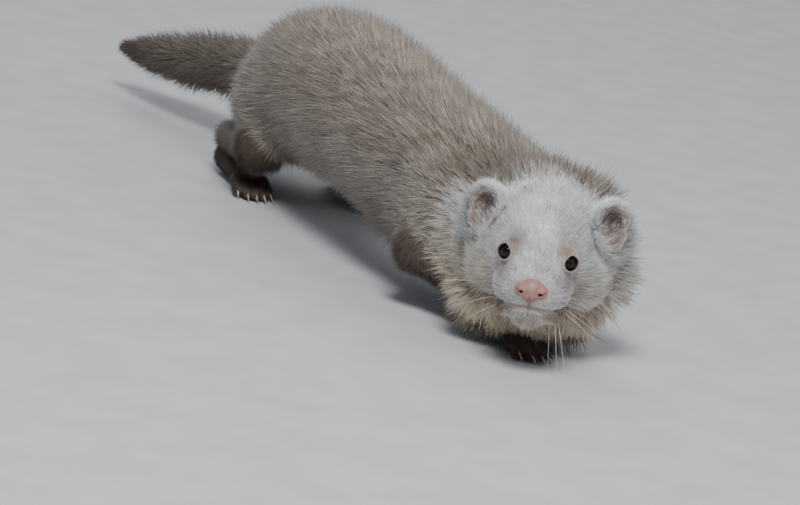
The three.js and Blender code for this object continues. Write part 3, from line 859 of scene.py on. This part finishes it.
# The lie of the coat: away from the nose on the head, along the trunk, down each leg, and away from each eye
def lieOf(p, n, part):
    h = part["h"]
    fromNose = h - ahead(0, 27, -9)
    fromNose = fromNose + v(0, 1, 0) * np.maximum(norm(fromNose)[:, None] - 30, 0)
    radial = fromHeadTurn(unit(fromNose))
    x0, z0 = trunkAt(p[:, 1] - 6)[:2]
    x1, z1 = trunkAt(p[:, 1] + 6)[:2]
    on = unit(np.stack([x1 - x0, np.full(len(p), 12.0), z1 - z0], -1))
    on = on + v(0, 0, -0.35) * (1 - np.abs(n[:, 2:3]))
    onHead = smooth((-h[:, 1] + 52) / 24)[:, None]
    lie = unit(mix(on, radial, onHead))
    hang = smooth((-h[:, 2:3] - 15) / 6) * onHead * smooth((h[:, 1:2] + 20) / 8)
    lie = unit(lie + v(-0.1, -0.25, -1.3) * hang)
    for eye in eyes:
        q = h - eye.at
        near = smooth((9 - norm(q)) / 5)[:, None]
        q = q - eye.look * (q @ eye.look)[:, None]
        lie = unit(lie + fromHeadTurn(unit(q)) * near * 1.6)
    for i, leg in enumerate(legs):
        mine = (part["which"] == i) & ((part["limb"] > 0.3) | (part["paw"] > 0.3))
        lower = limbShare(p[mine], leg["bend"], leg["low"])
        way = mix(unit(leg["bend"] - leg["top"]), unit(leg["low"] - leg["bend"]), smooth(lower * 3)[:, None])
        way = mix(way, v(0, -1, -0.25), part["paw"][mine][:, None])
        share = np.maximum(part["limb"][mine], part["paw"][mine])[:, None]
        lie[mine] = unit(mix(lie[mine], way, share))
    return lie


thickness = {"head": 5, "face": 13, "neck": 2.5, "back": 2.4, "tail": 3.2, "forelegs": 3.0, "hindlegs": 2.6,
             "paws": 5, "ears": 12, "inEars": 0.5, "quick": 0.35}


def scatter(rng):
    p = skinPoints.astype(np.float32)
    corners = np.concatenate([skinQuads[:, [0, 1, 2]], skinQuads[:, [0, 2, 3]]])
    a, b, c = p[corners[:, 0]], p[corners[:, 1]], p[corners[:, 2]]
    area = norm(np.cross(b - a, c - a)) / 2
    middle = (a + b + c) / 3
    part = nearestParts(middle)
    forward = -part["h"][:, 1]
    y = middle[:, 1]
    want = takeOver(
        thickness["head"], (thickness["face"], smooth((forward + 12) / 8)),
        (thickness["neck"], smooth((y - 36) / 22)), (thickness["back"], smooth((y - 130) / 40)),
        (thickness["tail"], smooth((y - 295) / 20)),
        (np.where(y < 160, thickness["forelegs"], thickness["hindlegs"]), part["limb"]),
        (thickness["paws"], part["paw"]))
    bare = sum(skinShare[key][corners].mean(-1) for key in ("nose", "rim", "lips", "pads", "hole"))
    inner = skinShare["inner"][corners].mean(-1)
    want = np.where(part["ear"], thickness["ears"], want) * (1 - thickness["inEars"] * inner) * (bare < 0.45)
    count = rng.poisson(want * area * (1))
    pick = np.repeat(np.arange(len(corners)), count)
    u, w = rng.random(len(pick)), rng.random(len(pick))
    flip = u + w > 1
    u[flip], w[flip] = 1 - u[flip], 1 - w[flip]
    share = np.stack([1 - u - w, u, w], -1)[..., None]
    mine = corners[pick]
    roots = (p[mine] * share).sum(1)
    normals = unit((skinNormals[mine] * share).sum(1))
    return roots.astype(np.float32), normals.astype(np.float32), (skinShare["inner"][mine] * share[..., 0]).sum(1)


roots, rootNormals, inEar = scatter(np.random.default_rng(7))
rootPart = nearestParts(roots)
onEar = rootPart["ear"]
print("tufts", len(roots))


# How far an ear's wall faces out of its cup: 1 behind the ear, 0 on the rim, -1 inside
def earFacing(ear, mine, n, part):
    q = part["h"][mine] - ear.at
    out = unit(q - ear.look * (q @ ear.look)[:, None])
    return (toHeadTurn(n[mine]) * out).sum(-1), out


# How high the tips of the tufts stand over the skin, and how long the tufts are, in mm
height = {"pads": 1.7, "muzzle": 0.6, "legs": 3.0, "paws": 1.1, "chin": 3.4, "bare": 0.4, "rearEar": 3.2,
          "earRim": 1.1, "cupWall": 0.8, "inEar": 1.5, "cheek": 0.25}
length = {"each": 1.3, "faceMore": 0.6, "least": 0.9, "chin": 8.5, "lips": 0.55, "earRim": 2.7, "rearEar": 6,
          "inEar": 3.6, "cheek": 0.9, "fringe": 0.8, "overEar": 3}


def tuftSizes():
    h = rootPart["h"]
    side, back, up = h[:, 0], h[:, 1], h[:, 2]
    forward = -back
    deepest = np.clip(-rootPart["outline"], 0.6, coatDepth(roots))
    pad = norm((mirrored(h) - ahead(8, 11.5, -11)) / v(7, 8, 6))
    chin = smooth((-up - 15.5) / 4) * smooth((forward + 6) / 8)
    depth = takeOver(
        deepest, (height["pads"], smooth(1.6 - pad)), (height["muzzle"], smooth((forward - 15.5) / 6)),
        (height["legs"], rootPart["limb"]), (height["paws"], rootPart["paw"]), (height["chin"], chin))
    near = np.minimum(*[norm(h - eye.at) for eye in eyes])
    depth = mix(height["bare"], depth, smooth((near - 4.8) / 7))
    front = np.where(forward > 0, chain(h, mouthPoints, 0.2), 99)
    depth = mix(height["bare"], depth, smooth((front - 0.6) / 2.2))
    face = smooth((forward + 14) / 8) * smooth((19 - forward) / 6)
    long = ((length["each"] + length["faceMore"] * face) * depth + length["least"]
            + length["least"] * face * smooth((depth - 0.5) / 0.8))
    cheek = smooth((np.abs(side) - 10) / 7) * smooth((forward + 26) / 8) * smooth((8 - forward) / 8)
    cheek = cheek * (1 - np.maximum(rootPart["limb"], rootPart["paw"])) * smooth((up + 26) / 8)
    cheek = cheek * smooth((8 - up) / 10)
    long = long * (1 + length["cheek"] * cheek)
    depth = depth * (1 + height["cheek"] * cheek)
    long = mix(long, length["chin"], chin * smooth((-up - 18.5) / 3))
    long = long * mix(length["lips"], 1, smooth((front - 0.8) / 2.6))
    for i, ear in enumerate(ears):
        mine = onEar & (rootPart["cups"].argmin(-1) == i)
        facing = earFacing(ear, mine, rootNormals, rootPart)[0]
        rear = smooth(facing * 2)
        depth[mine] = mix(mix(height["earRim"], height["rearEar"], rear), height["cupWall"], smooth(-facing * 2))
        long[mine] = mix(length["earRim"], length["rearEar"], rear)
    depth = mix(depth, height["inEar"], inEar)
    long = mix(long, length["inEar"], inEar)
    fringe = smooth((-up - 22) / 8) * smooth((back - 4) / 8) * smooth((44 - back) / 8)  # under the throat
    long = long * (1 + length["fringe"] * fringe * (1 - rootPart["limb"]))
    beforeEar = forward > np.where(side > 0, ears[0].at[1], ears[1].at[1]) * -1 - 2
    over = ~onEar * smooth((14 - rootPart["cups"].min(-1)) / 3.5) * beforeEar
    return depth, long + length["overEar"] * over


depth, long = tuftSizes()


# Neighbouring hairs lean together into small locks
def clumps(p, n, size):
    cell = np.floor(p.astype(np.float64) / size)
    key = np.sin(cell @ np.array([12.9898, 78.233, 37.719]))
    jitter = np.stack([key * scale % 1 for scale in (4375.8, 2917.3, 6151.9)], -1)
    pull = ((cell + 0.2 + 0.6 * jitter) * size - p).astype(np.float32)
    return pull - n * (pull * n).sum(-1, keepdims=True), jitter[:, 0] - jitter[:, 1]


# An unwrap of the skin: the head about its own middle, the trunk round its length, each limb round its own
def unwrap(p, part):
    def turned(x, z):
        return np.arctan2(x, z) / (2 * math.pi) + 0.5

    way = unit(part["h"] - ahead(0, -12, -3))
    onHead = np.stack([turned(way[:, 0], way[:, 2]), np.arccos(np.clip(-way[:, 1], -1, 1)) / math.pi], -1)
    x, z = trunkAt(p[:, 1])[:2]
    onTrunk = np.stack([turned(p[:, 0] - x, p[:, 2] - z), (p[:, 1] - 20) / 440], -1)
    uv = np.where((p[:, 1] < 45)[:, None], onHead, onTrunk)
    for i, leg in enumerate(legs):
        mine = (part["which"] == i) & (np.maximum(part["limb"], part["paw"]) > 0.5)
        q = p[mine] - leg["low"]
        low, high = leg["span"]
        uv[mine] = np.stack([(turned(q[:, 0], q[:, 2]) + i) / 4, (p[mine, 1] - low) / (high - low)], -1)
    return uv * 0.98 + 0.01


# What varies from tuft to tuft, as shares. Guard hairs are the dark ones that stand out of a brown coat.
tuft = {
    "flow": 0.17, "fine": 0.12, "stray": 0.12, "long": (0.72, 1.18), "high": (0.62, 1.12), "steepest": 0.93,
    "guards": (0.035, 0.34), "guardLong": 1.22, "guardHigh": 1.25, "guardWide": 0.8, "earWide": 0.7, "bend": 0.1,
    "wide": (0.75, 1.25), "root": 0.07, "growth": {1: 0.0125, 2: 0.0095},  # half width in mm, and per mm of length
    "smallLock": (1.6, 0.3), "largeLock": (3.4, 0.5), "sunk": 0.25, "rings": (1, 0.8), "uvHalf": 0.0013,
}


# Which way each tuft of a piece lies
def tuftWays(mine, p, n, part, own):
    lie = lieOf(p, n, part)
    which = part["cups"].argmin(-1)
    for i, ear in enumerate(ears):
        edge = onEar[mine] & (which == i)
        facing, out = earFacing(ear, edge, n, part)
        rear = smooth(facing * 2)[:, None]
        way = out * (1 - 0.35 * rear) + ear.look * (0.35 + 0.4 * rear) + ear.up * 0.3 * rear
        lie[edge] = unit(fromHeadTurn(way) + lie[edge] * 0.15)
        inside = (inEar[mine] > 0.3) & (which == i)
        lie[inside] = unit(fromHeadTurn(ear.up * 0.8 + ear.across * 0.5 * ear.side + ear.look * 0.5))
    flow, fine = [np.stack([softNoise(p, size, seed) for seed in seeds], -1)
                  for size, seeds in ((9, (31, 32, 33)), (3.2, (41, 42, 43)))]
    lie = lie + tuft["flow"] * flow + tuft["fine"] * fine + own.normal(size=(len(p), 3)) * tuft["stray"]
    return unit(lie - n * (lie * n).sum(-1, keepdims=True))


# The faces of one tuft with so many segments: sides, pointed end, and the end in the skin
def tuftFaces(segments):
    sides = [(3 * r + i, 3 * r + (i + 1) % 3, 3 * r + 3 + (i + 1) % 3, 3 * r + 3 + i)
             for r in range(segments - 1) for i in range(3)]
    last = 3 * (segments - 1)
    faces = sides + [(last + i, last + (i + 1) % 3, last + 3) for i in range(3)] + [(2, 1, 0)]
    starts = np.cumsum([0] + [len(face) for face in faces])
    return np.concatenate(faces), starts[:-1], starts[-1]


def makeTufts(name, slot, mine, segments):
    p, n = roots[mine], rootNormals[mine]
    part = {key: value[mine] for key, value in rootPart.items()}
    ear = onEar[mine]
    count = len(p)
    own = np.random.default_rng(sum(map(ord, name)))
    lie = tuftWays(mine, p, n, part, own)
    marks = markingsAndShade(p, part)
    brownish = smooth((0.75 - marks["pale"]) / 0.5)
    guard = (own.random(count) < mix(*tuft["guards"], brownish)) & (depth[mine] > 2)
    size = long[mine] * own.uniform(*tuft["long"], count) * (1 + 0.14 * softNoise(p, 5, 77))
    size = size * np.where(guard, tuft["guardLong"], 1)
    high = depth[mine] * own.uniform(*tuft["high"], count) * (1 + 0.12 * softNoise(p, 5, 78))
    high = np.minimum(high * np.where(guard, tuft["guardHigh"], 1), size * tuft["steepest"])
    flat = np.sqrt(size**2 - high**2)
    wide = (tuft["root"] + tuft["growth"][segments] * long[mine]) * own.uniform(*tuft["wide"], count)
    wide = wide * np.where(guard, tuft["guardWide"], 1) * np.where(ear, tuft["earWide"], 1)
    across = unit(np.cross(n, lie))
    bend = own.normal(size=count) * tuft["bend"]
    (small, smallTone), (large, largeTone) = [clumps(p, n, tuft[key][0]) for key in ("smallLock", "largeLock")]
    inDeep = smooth((depth[mine] - 2) / 3)
    pull = mix(small * tuft["smallLock"][1], large * tuft["largeLock"][1], inDeep[:, None]) * (~ear)[:, None]
    lockTone = mix(smallTone, largeTone, inDeep)

    steps = np.linspace(0, 1, segments + 1)
    rings = []
    for t, thick in zip(steps[:-1], tuft["rings"]):
        rise = high * (1.4 * t - 0.4 * t * t) - tuft["sunk"] * (t == 0)
        middle = p + lie * (flat * (0.85 * t + 0.15 * t * t))[:, None] + n * rise[:, None]
        middle = middle + across * (flat * bend * t * t)[:, None] + pull * t * t
        w = (wide * thick)[:, None]
        rings.append(np.stack([middle - across * w, middle + across * w, middle + n * w * 0.75], 1))
    tip = p + lie * flat[:, None] + n * high[:, None] + across * (flat * bend)[:, None] + pull
    points = np.concatenate([*rings, tip[:, None]], 1)
    points[..., 2] = np.maximum(points[..., 2], floorGap)
    each = points.shape[1]
    loops, starts, at = tuftFaces(segments)
    base = np.arange(count)[:, None]
    order = (base * each + loops).ravel()
    begin = (base * at + starts).ravel()

    along = np.concatenate([np.repeat(steps[:-1], 3), [1]])
    inner = inEar[mine] * np.where(own.random(count) < 0.18, 0.1, own.uniform(0.75, 1.2, count))
    tone = np.clip(own.normal(0.52, 0.25, count) + 0.12 * softNoise(p, 6, 9) + 0.16 * lockTone, 0, 1)
    brown = guard * (1 - 0.75 * marks["pale"] * smooth((24 - part["h"][:, 1]) / 12))
    brown = brown * smooth((part["cups"].min(-1) - 11) / 4)
    shares = {key: np.repeat(value, each) for key, value in {**marks, "inner": inner, "tone": tone}.items()}
    shares["along"] = np.tile(along, count)
    shares["guard"] = np.repeat(brown, each) * np.tile(0.4 + 0.6 * along, count)
    half = tuft["uvHalf"]
    offset = np.stack([[half, -half, 0] * segments + [0], along * 2 * half - half], -1)
    uv = (unwrap(p, part)[:, None] + offset[None]).reshape(-1, 2)

    # Shading follows the skin more than the tuft's own sides, and the ear's look on the ears
    looks = fromHeadTurn(np.stack([ears[i].look for i in part["cups"].argmin(-1)]))
    n = unit(n + looks * np.where(ear, 1.6, 0)[:, None])
    sides = points[:, :-1].reshape(count, segments, 3, 3)
    around = unit(sides - sides.mean(2, keepdims=True)).reshape(count, -1, 3)
    normals = np.concatenate([unit(around * 0.75 + n[:, None] * 0.8), n[:, None]], 1).reshape(-1, 3)
    made = meshFrom("coat_" + name, points.reshape(-1, 3), order, begin, shares, uv, normals)
    made.data.materials.append(bpy.data.materials["coat"])
    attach(made, "root")
    triangles = count * (6 * (segments - 1) + 4)
    print("coat", name, count, "tufts", triangles, "triangles")
    return triangles


def makeCoat():
    coatMaterial()
    limbs = np.maximum(rootPart["limb"], rootPart["paw"]) > 0.5
    forward = -rootPart["h"][:, 1]
    y = roots[:, 1]
    head = ~limbs & (y < 48) & (forward > -46)
    # Each piece takes what those before it have left: name, slot, where, segments of a tuft
    pieces = [
        ("ears", "pale_coat", head & (onEar | (inEar > 0.3)), 2),
        ("face", "pale_coat", head & (forward > -8), 1),
        ("crown", "pale_coat", head & (forward > -24), 2),
        ("ruff_left", "pale_coat", head & (rootPart["h"][:, 0] > 0), 2),
        ("ruff_right", "pale_coat", head, 2),
        ("neck", "body_coat", ~limbs & (y < 84), 2),
        ("shoulders", "body_coat", ~limbs & (y < 140), 1),
        ("back", "body_coat", ~limbs & (y < 215), 1),
        ("rump", "body_coat", ~limbs & (y < 305), 1),
        ("tail", "dark_coat", ~limbs, 2),
        ("forelegs", "dark_coat", y < 160, 1),
        ("hindlegs", "dark_coat", y >= 160, 1),
    ]
    left = np.ones(len(roots), dtype=bool)
    total = 0
    for name, slot, where, segments in pieces:
        mine = np.flatnonzero(where & left)
        left[mine] = False
        total += makeTufts(name, slot, mine, segments)
    print("coat in all", total, "triangles")


makeCoat()


# Eyeballs: a sphere whose front bulges a little
def makeEyes(columns=48, rows=32):
    material = eyeMaterial()
    theta = np.linspace(0, math.pi, rows + 1)
    phi = np.arange(columns) / columns * 2 * math.pi
    ring = np.stack([np.outer(np.sin(theta), np.cos(phi)), np.outer(np.sin(theta), np.sin(phi)),
                     np.repeat(np.cos(theta)[:, None], columns, 1)], -1)
    front = ring[..., 2]
    local = ring * (eyeForm["ball"] + eyeForm["cornea"] * smooth((front - 0.8) / 0.2))[..., None]
    i, j = np.meshgrid(np.arange(rows), np.arange(columns), indexing="ij")
    a, b = i * columns + j, i * columns + (j + 1) % columns
    quads = np.stack([a, a + columns, b + columns, b], -1).reshape(-1, 4)
    for name, eye in zip(("eye_left", "eye_right"), eyes):
        h = eye.at + local[..., 0:1] * eye.across + local[..., 1:2] * eye.up + local[..., 2:3] * eye.look
        made = quadMesh(name + "_ball", fromHead(h.reshape(-1, 3)), quads, {"pupil": front})
        made.data.materials.append(material)
        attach(made, "root")
        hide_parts(name)


makeEyes()
print("eyes made")


# Whiskers and claws: one thorn along Z that bends towards X, set on points by Geometry Nodes
def thornShape(name, wide, thick, bend, sides, rings=10):
    points, faces = [], []
    for i in range(rings):
        t = i / rings
        w = (1 - t) ** 0.75
        for j in range(sides):
            a = 2 * math.pi * j / sides
            points.append((math.cos(a) * thick * w + bend * t * t, math.sin(a) * wide * w, t))
    points.append((bend, 0, 1))
    for i in range(rings - 1):
        for j in range(sides):
            a, b = i * sides + j, i * sides + (j + 1) % sides
            faces.append((a, b, b + sides, a + sides))
    last = (rings - 1) * sides
    faces += [(last + j, last + (j + 1) % sides, len(points) - 1) for j in range(sides)]
    faces.append(tuple(range(sides))[::-1])
    mesh = bpy.data.meshes.new(name)
    mesh.from_pydata(points, [], faces)
    mesh.shade_smooth()
    return bpy.data.objects.new(name, mesh)


def thornNodes():
    tree = bpy.data.node_groups.new("Thorns", "GeometryNodeTree")
    for name, kind in (("Roots", "Geometry"), ("Shape", "Object"), ("Material", "Material"),
                       ("Thickness", "Float"), ("Seed", "Int")):
        tree.interface.new_socket(name, in_out="INPUT", socket_type="NodeSocket" + kind)
    tree.interface.new_socket("Geometry", in_out="OUTPUT", socket_type="NodeSocketGeometry")
    given = addNode(tree, "NodeGroupInput").outputs

    def named(name, kind="FLOAT"):
        return addNode(tree, "GeometryNodeInputNamedAttribute", {"Name": name}, data_type=kind).outputs["Attribute"]

    ways = {0: named("way", "FLOAT_VECTOR"), 1: named("bend", "FLOAT_VECTOR")}
    turn = addNode(tree, "FunctionNodeAxesToRotation", ways, primary_axis="Z", secondary_axis="X")
    vary = addNode(tree, "FunctionNodeRandomValue", {2: 0.85, 3: 1.15, "Seed": given["Seed"]}, data_type="FLOAT")
    thick = addNode(tree, "ShaderNodeMath", {0: given["Thickness"], 1: vary.outputs[1]}, operation="MULTIPLY")
    size = addNode(tree, "ShaderNodeCombineXYZ", {0: named("long"), 1: thick.outputs[0], 2: named("long")})
    shape = addNode(tree, "GeometryNodeObjectInfo", {"Object": given["Shape"]})
    place = addNode(tree, "GeometryNodeInstanceOnPoints", {
        "Points": given["Roots"], "Instance": shape.outputs["Geometry"], "Rotation": turn.outputs[0],
        "Scale": size.outputs[0]})
    real = addNode(tree, "GeometryNodeRealizeInstances", {0: place.outputs[0]})
    painted = addNode(tree, "GeometryNodeSetMaterial", {0: real.outputs[0], "Material": given["Material"]})
    addNode(tree, "NodeGroupOutput", {0: painted.outputs[0]})
    return tree


thornTree = thornNodes()


# thorns holds rows of point, way, bend and size, in mm
def growThorns(name, thorns, shape, thickness, material, seed):
    points, ways, bends, sizes = [np.array(column) for column in zip(*thorns)]
    mesh = bpy.data.meshes.new(name)
    mesh.from_pydata(toFrame(points).tolist(), [], [])
    addShares(mesh, {"way": ways, "bend": bends}, "FLOAT_VECTOR", "vector")
    addShares(mesh, {"long": sizes.astype(np.float32) / 1000})
    made = addObject(name, mesh)
    made.data.materials.append(material)
    modifier = made.modifiers.new("Thorns", "NODES")
    modifier.node_group = thornTree
    values = {"Shape": shape, "Material": material, "Thickness": thickness / 1000, "Seed": seed}
    for item in thornTree.interface.items_tree:
        if item.in_out == "INPUT" and item.name in values:
            modifier[item.identifier] = values[item.name]
    bpy.context.view_layer.update()
    grown = bpy.data.meshes.new_from_object(made.evaluated_get(bpy.context.evaluated_depsgraph_get()))
    made.modifiers.remove(modifier)
    made.data = grown
    if not grown.materials:
        grown.materials.append(material)
    grown.shade_smooth()
    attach(made, "root")
    print(name, len(grown.polygons), "faces")


# Fine whiskers stand in rows on each pad, longest at the back. Long pale ones hang from under it.
whiskers = {
    "rows": 4, "columns": 4, "rowGap": 1.1, "columnGap": 2.4, "shortest": 10, "longer": 3.2, "vary": (-2, 3),
    "brow": 9, "sunk": 1.4, "thick": 0.26, "bend": 0.16,
    "fineTone": (0.2, 0.13, 0.09), "paleTone": (0.88, 0.86, 0.82),
    # side, up, length, how far out
    "pale": [(1, -14, 38, 0.3), (1, -15.5, 35, 0.16), (1, -13, 40, 0.42), (1, -12, 20, 1.2), (1, -13, 24, 0.9),
             (-1, -14.5, 22, 0.7), (-1, -12, 25, 1.3)],
}


def whisker(start, look, way, bend, size):
    look, way, bend = unit(look), unit(way), unit(bend)
    at = reach(start[None], look[None], 30)[0] - look * whiskers["sunk"]
    size = min(size, (eyeHeight + at[2] - 1) / max(-way[2] - 0.17 * bend[2], 0.1))  # ends above the floor
    return fromHead(at), fromHeadTurn(way), fromHeadTurn(bend), size


def makeWhiskers():
    own = np.random.default_rng(23)
    fine = []
    for side in (1, -1):
        for row in range(whiskers["rows"]):
            for i in range(whiskers["columns"]):
                start = ahead(side * 2, 4 + i * whiskers["columnGap"], -9.6 - row * whiskers["rowGap"])
                look = ahead(side * 1.0, 0.5, -0.05 - 0.14 * row)
                back = 1.25 - 0.24 * i + own.normal() * 0.12
                way = ahead(side * 1.0, -0.5 * back + 0.1, 0.02 - 0.17 * row + own.normal() * 0.09)
                size = whiskers["shortest"] + whiskers["longer"] * (whiskers["columns"] - 1 - i)
                fine.append(whisker(start, look, way, ahead(0, -0.6, -1), size + own.uniform(*whiskers["vary"])))
        fine.append(whisker(ahead(side * 9, -3, 0), ahead(side * 0.3, 0.3, 1), ahead(side * 0.7, 0.1, 1),
                            ahead(side * 0.3, -1, 0), whiskers["brow"]))
    pale = [whisker(ahead(side, 4, up), ahead(side, 0.35, -0.4), ahead(side * out, 0.75, -1 if out < 0.5 else -0.25),
                    ahead(side * 0.1, -0.4, -1), size) for side, up, size, out in whiskers["pale"]]
    shape = thornShape("whiskerShape", 0.5, 0.003, whiskers["bend"], 5)
    for name, thorns, tone in (("whiskers_fine", fine, "fineTone"), ("whiskers_long", pale, "paleTone")):
        growThorns(name, thorns, shape, whiskers["thick"], whiskerMaterial(name, whiskers[tone]), 4)


claws = {"long": 7.4, "thick": 1.25, "deep": 0.13, "bend": 0.28, "sunk": 1.2, "up": 0.6}


def makeClaws():
    thorns = [(tip - on * claws["sunk"] + v(0, 0, claws["up"]), unit(on + v(0, 0, -0.06)), v(0, -0.1, -1),
               claws["long"]) for leg in legs for root, tip, on in leg["toes"]]
    shape = thornShape("clawShape", 0.5, claws["deep"], claws["bend"], 10)
    growThorns("claws", thorns, shape, claws["thick"], clawMaterial(), 9)


makeWhiskers()
makeClaws()

# Floor and light: each light's way from the focus in metres, size, power and colour
studio = {
    "focus": v(5, 20, 40), "sky": (0.78, 0.86, 1, 1), "skyPower": 0.3,
    "lights": {
        "key": ((-0.5, -0.85, 1.45), 0.55, 29, (0.95, 0.975, 1)),
        "fill": ((1.2, -0.9, 0.8), 1.2, 3.5, (1, 0.95, 0.88)),
        "back": ((0.5, 1.4, 1.3), 0.9, 7, (1, 0.97, 0.93))},
}


def makeStage():
    mesh = bpy.data.meshes.new("floor")
    mesh.from_pydata([(-6, -4, 0), (6, -4, 0), (6, 9, 0), (-6, 9, 0)], [], [(0, 1, 2, 3)])
    paint = Paint("floorPaint", 0.75)
    mesh.materials.append(paint.set(Base_Color=paint.mottle(40, 4, palette["floor"])))
    addObject("floor", mesh)
    world = bpy.data.worlds.new("studio")
    bpy.context.scene.world = world
    world.use_nodes = True
    sky = world.node_tree.nodes["Background"].inputs
    sky[0].default_value, sky[1].default_value = studio["sky"], studio["skyPower"]
    focus = Vector(toFrame(studio["focus"]))
    for name, (way, size, power, colour) in studio["lights"].items():
        data = bpy.data.lights.new(name, "AREA")
        data.size = size
        data.energy = power
        data.color = colour
        place = focus + Vector(way)
        turn = (focus - place).to_track_quat("-Z", "Y").to_matrix().to_4x4()
        addObject(name, data).matrix_world = Matrix.Translation(place) @ turn


makeStage()
print("stage made")
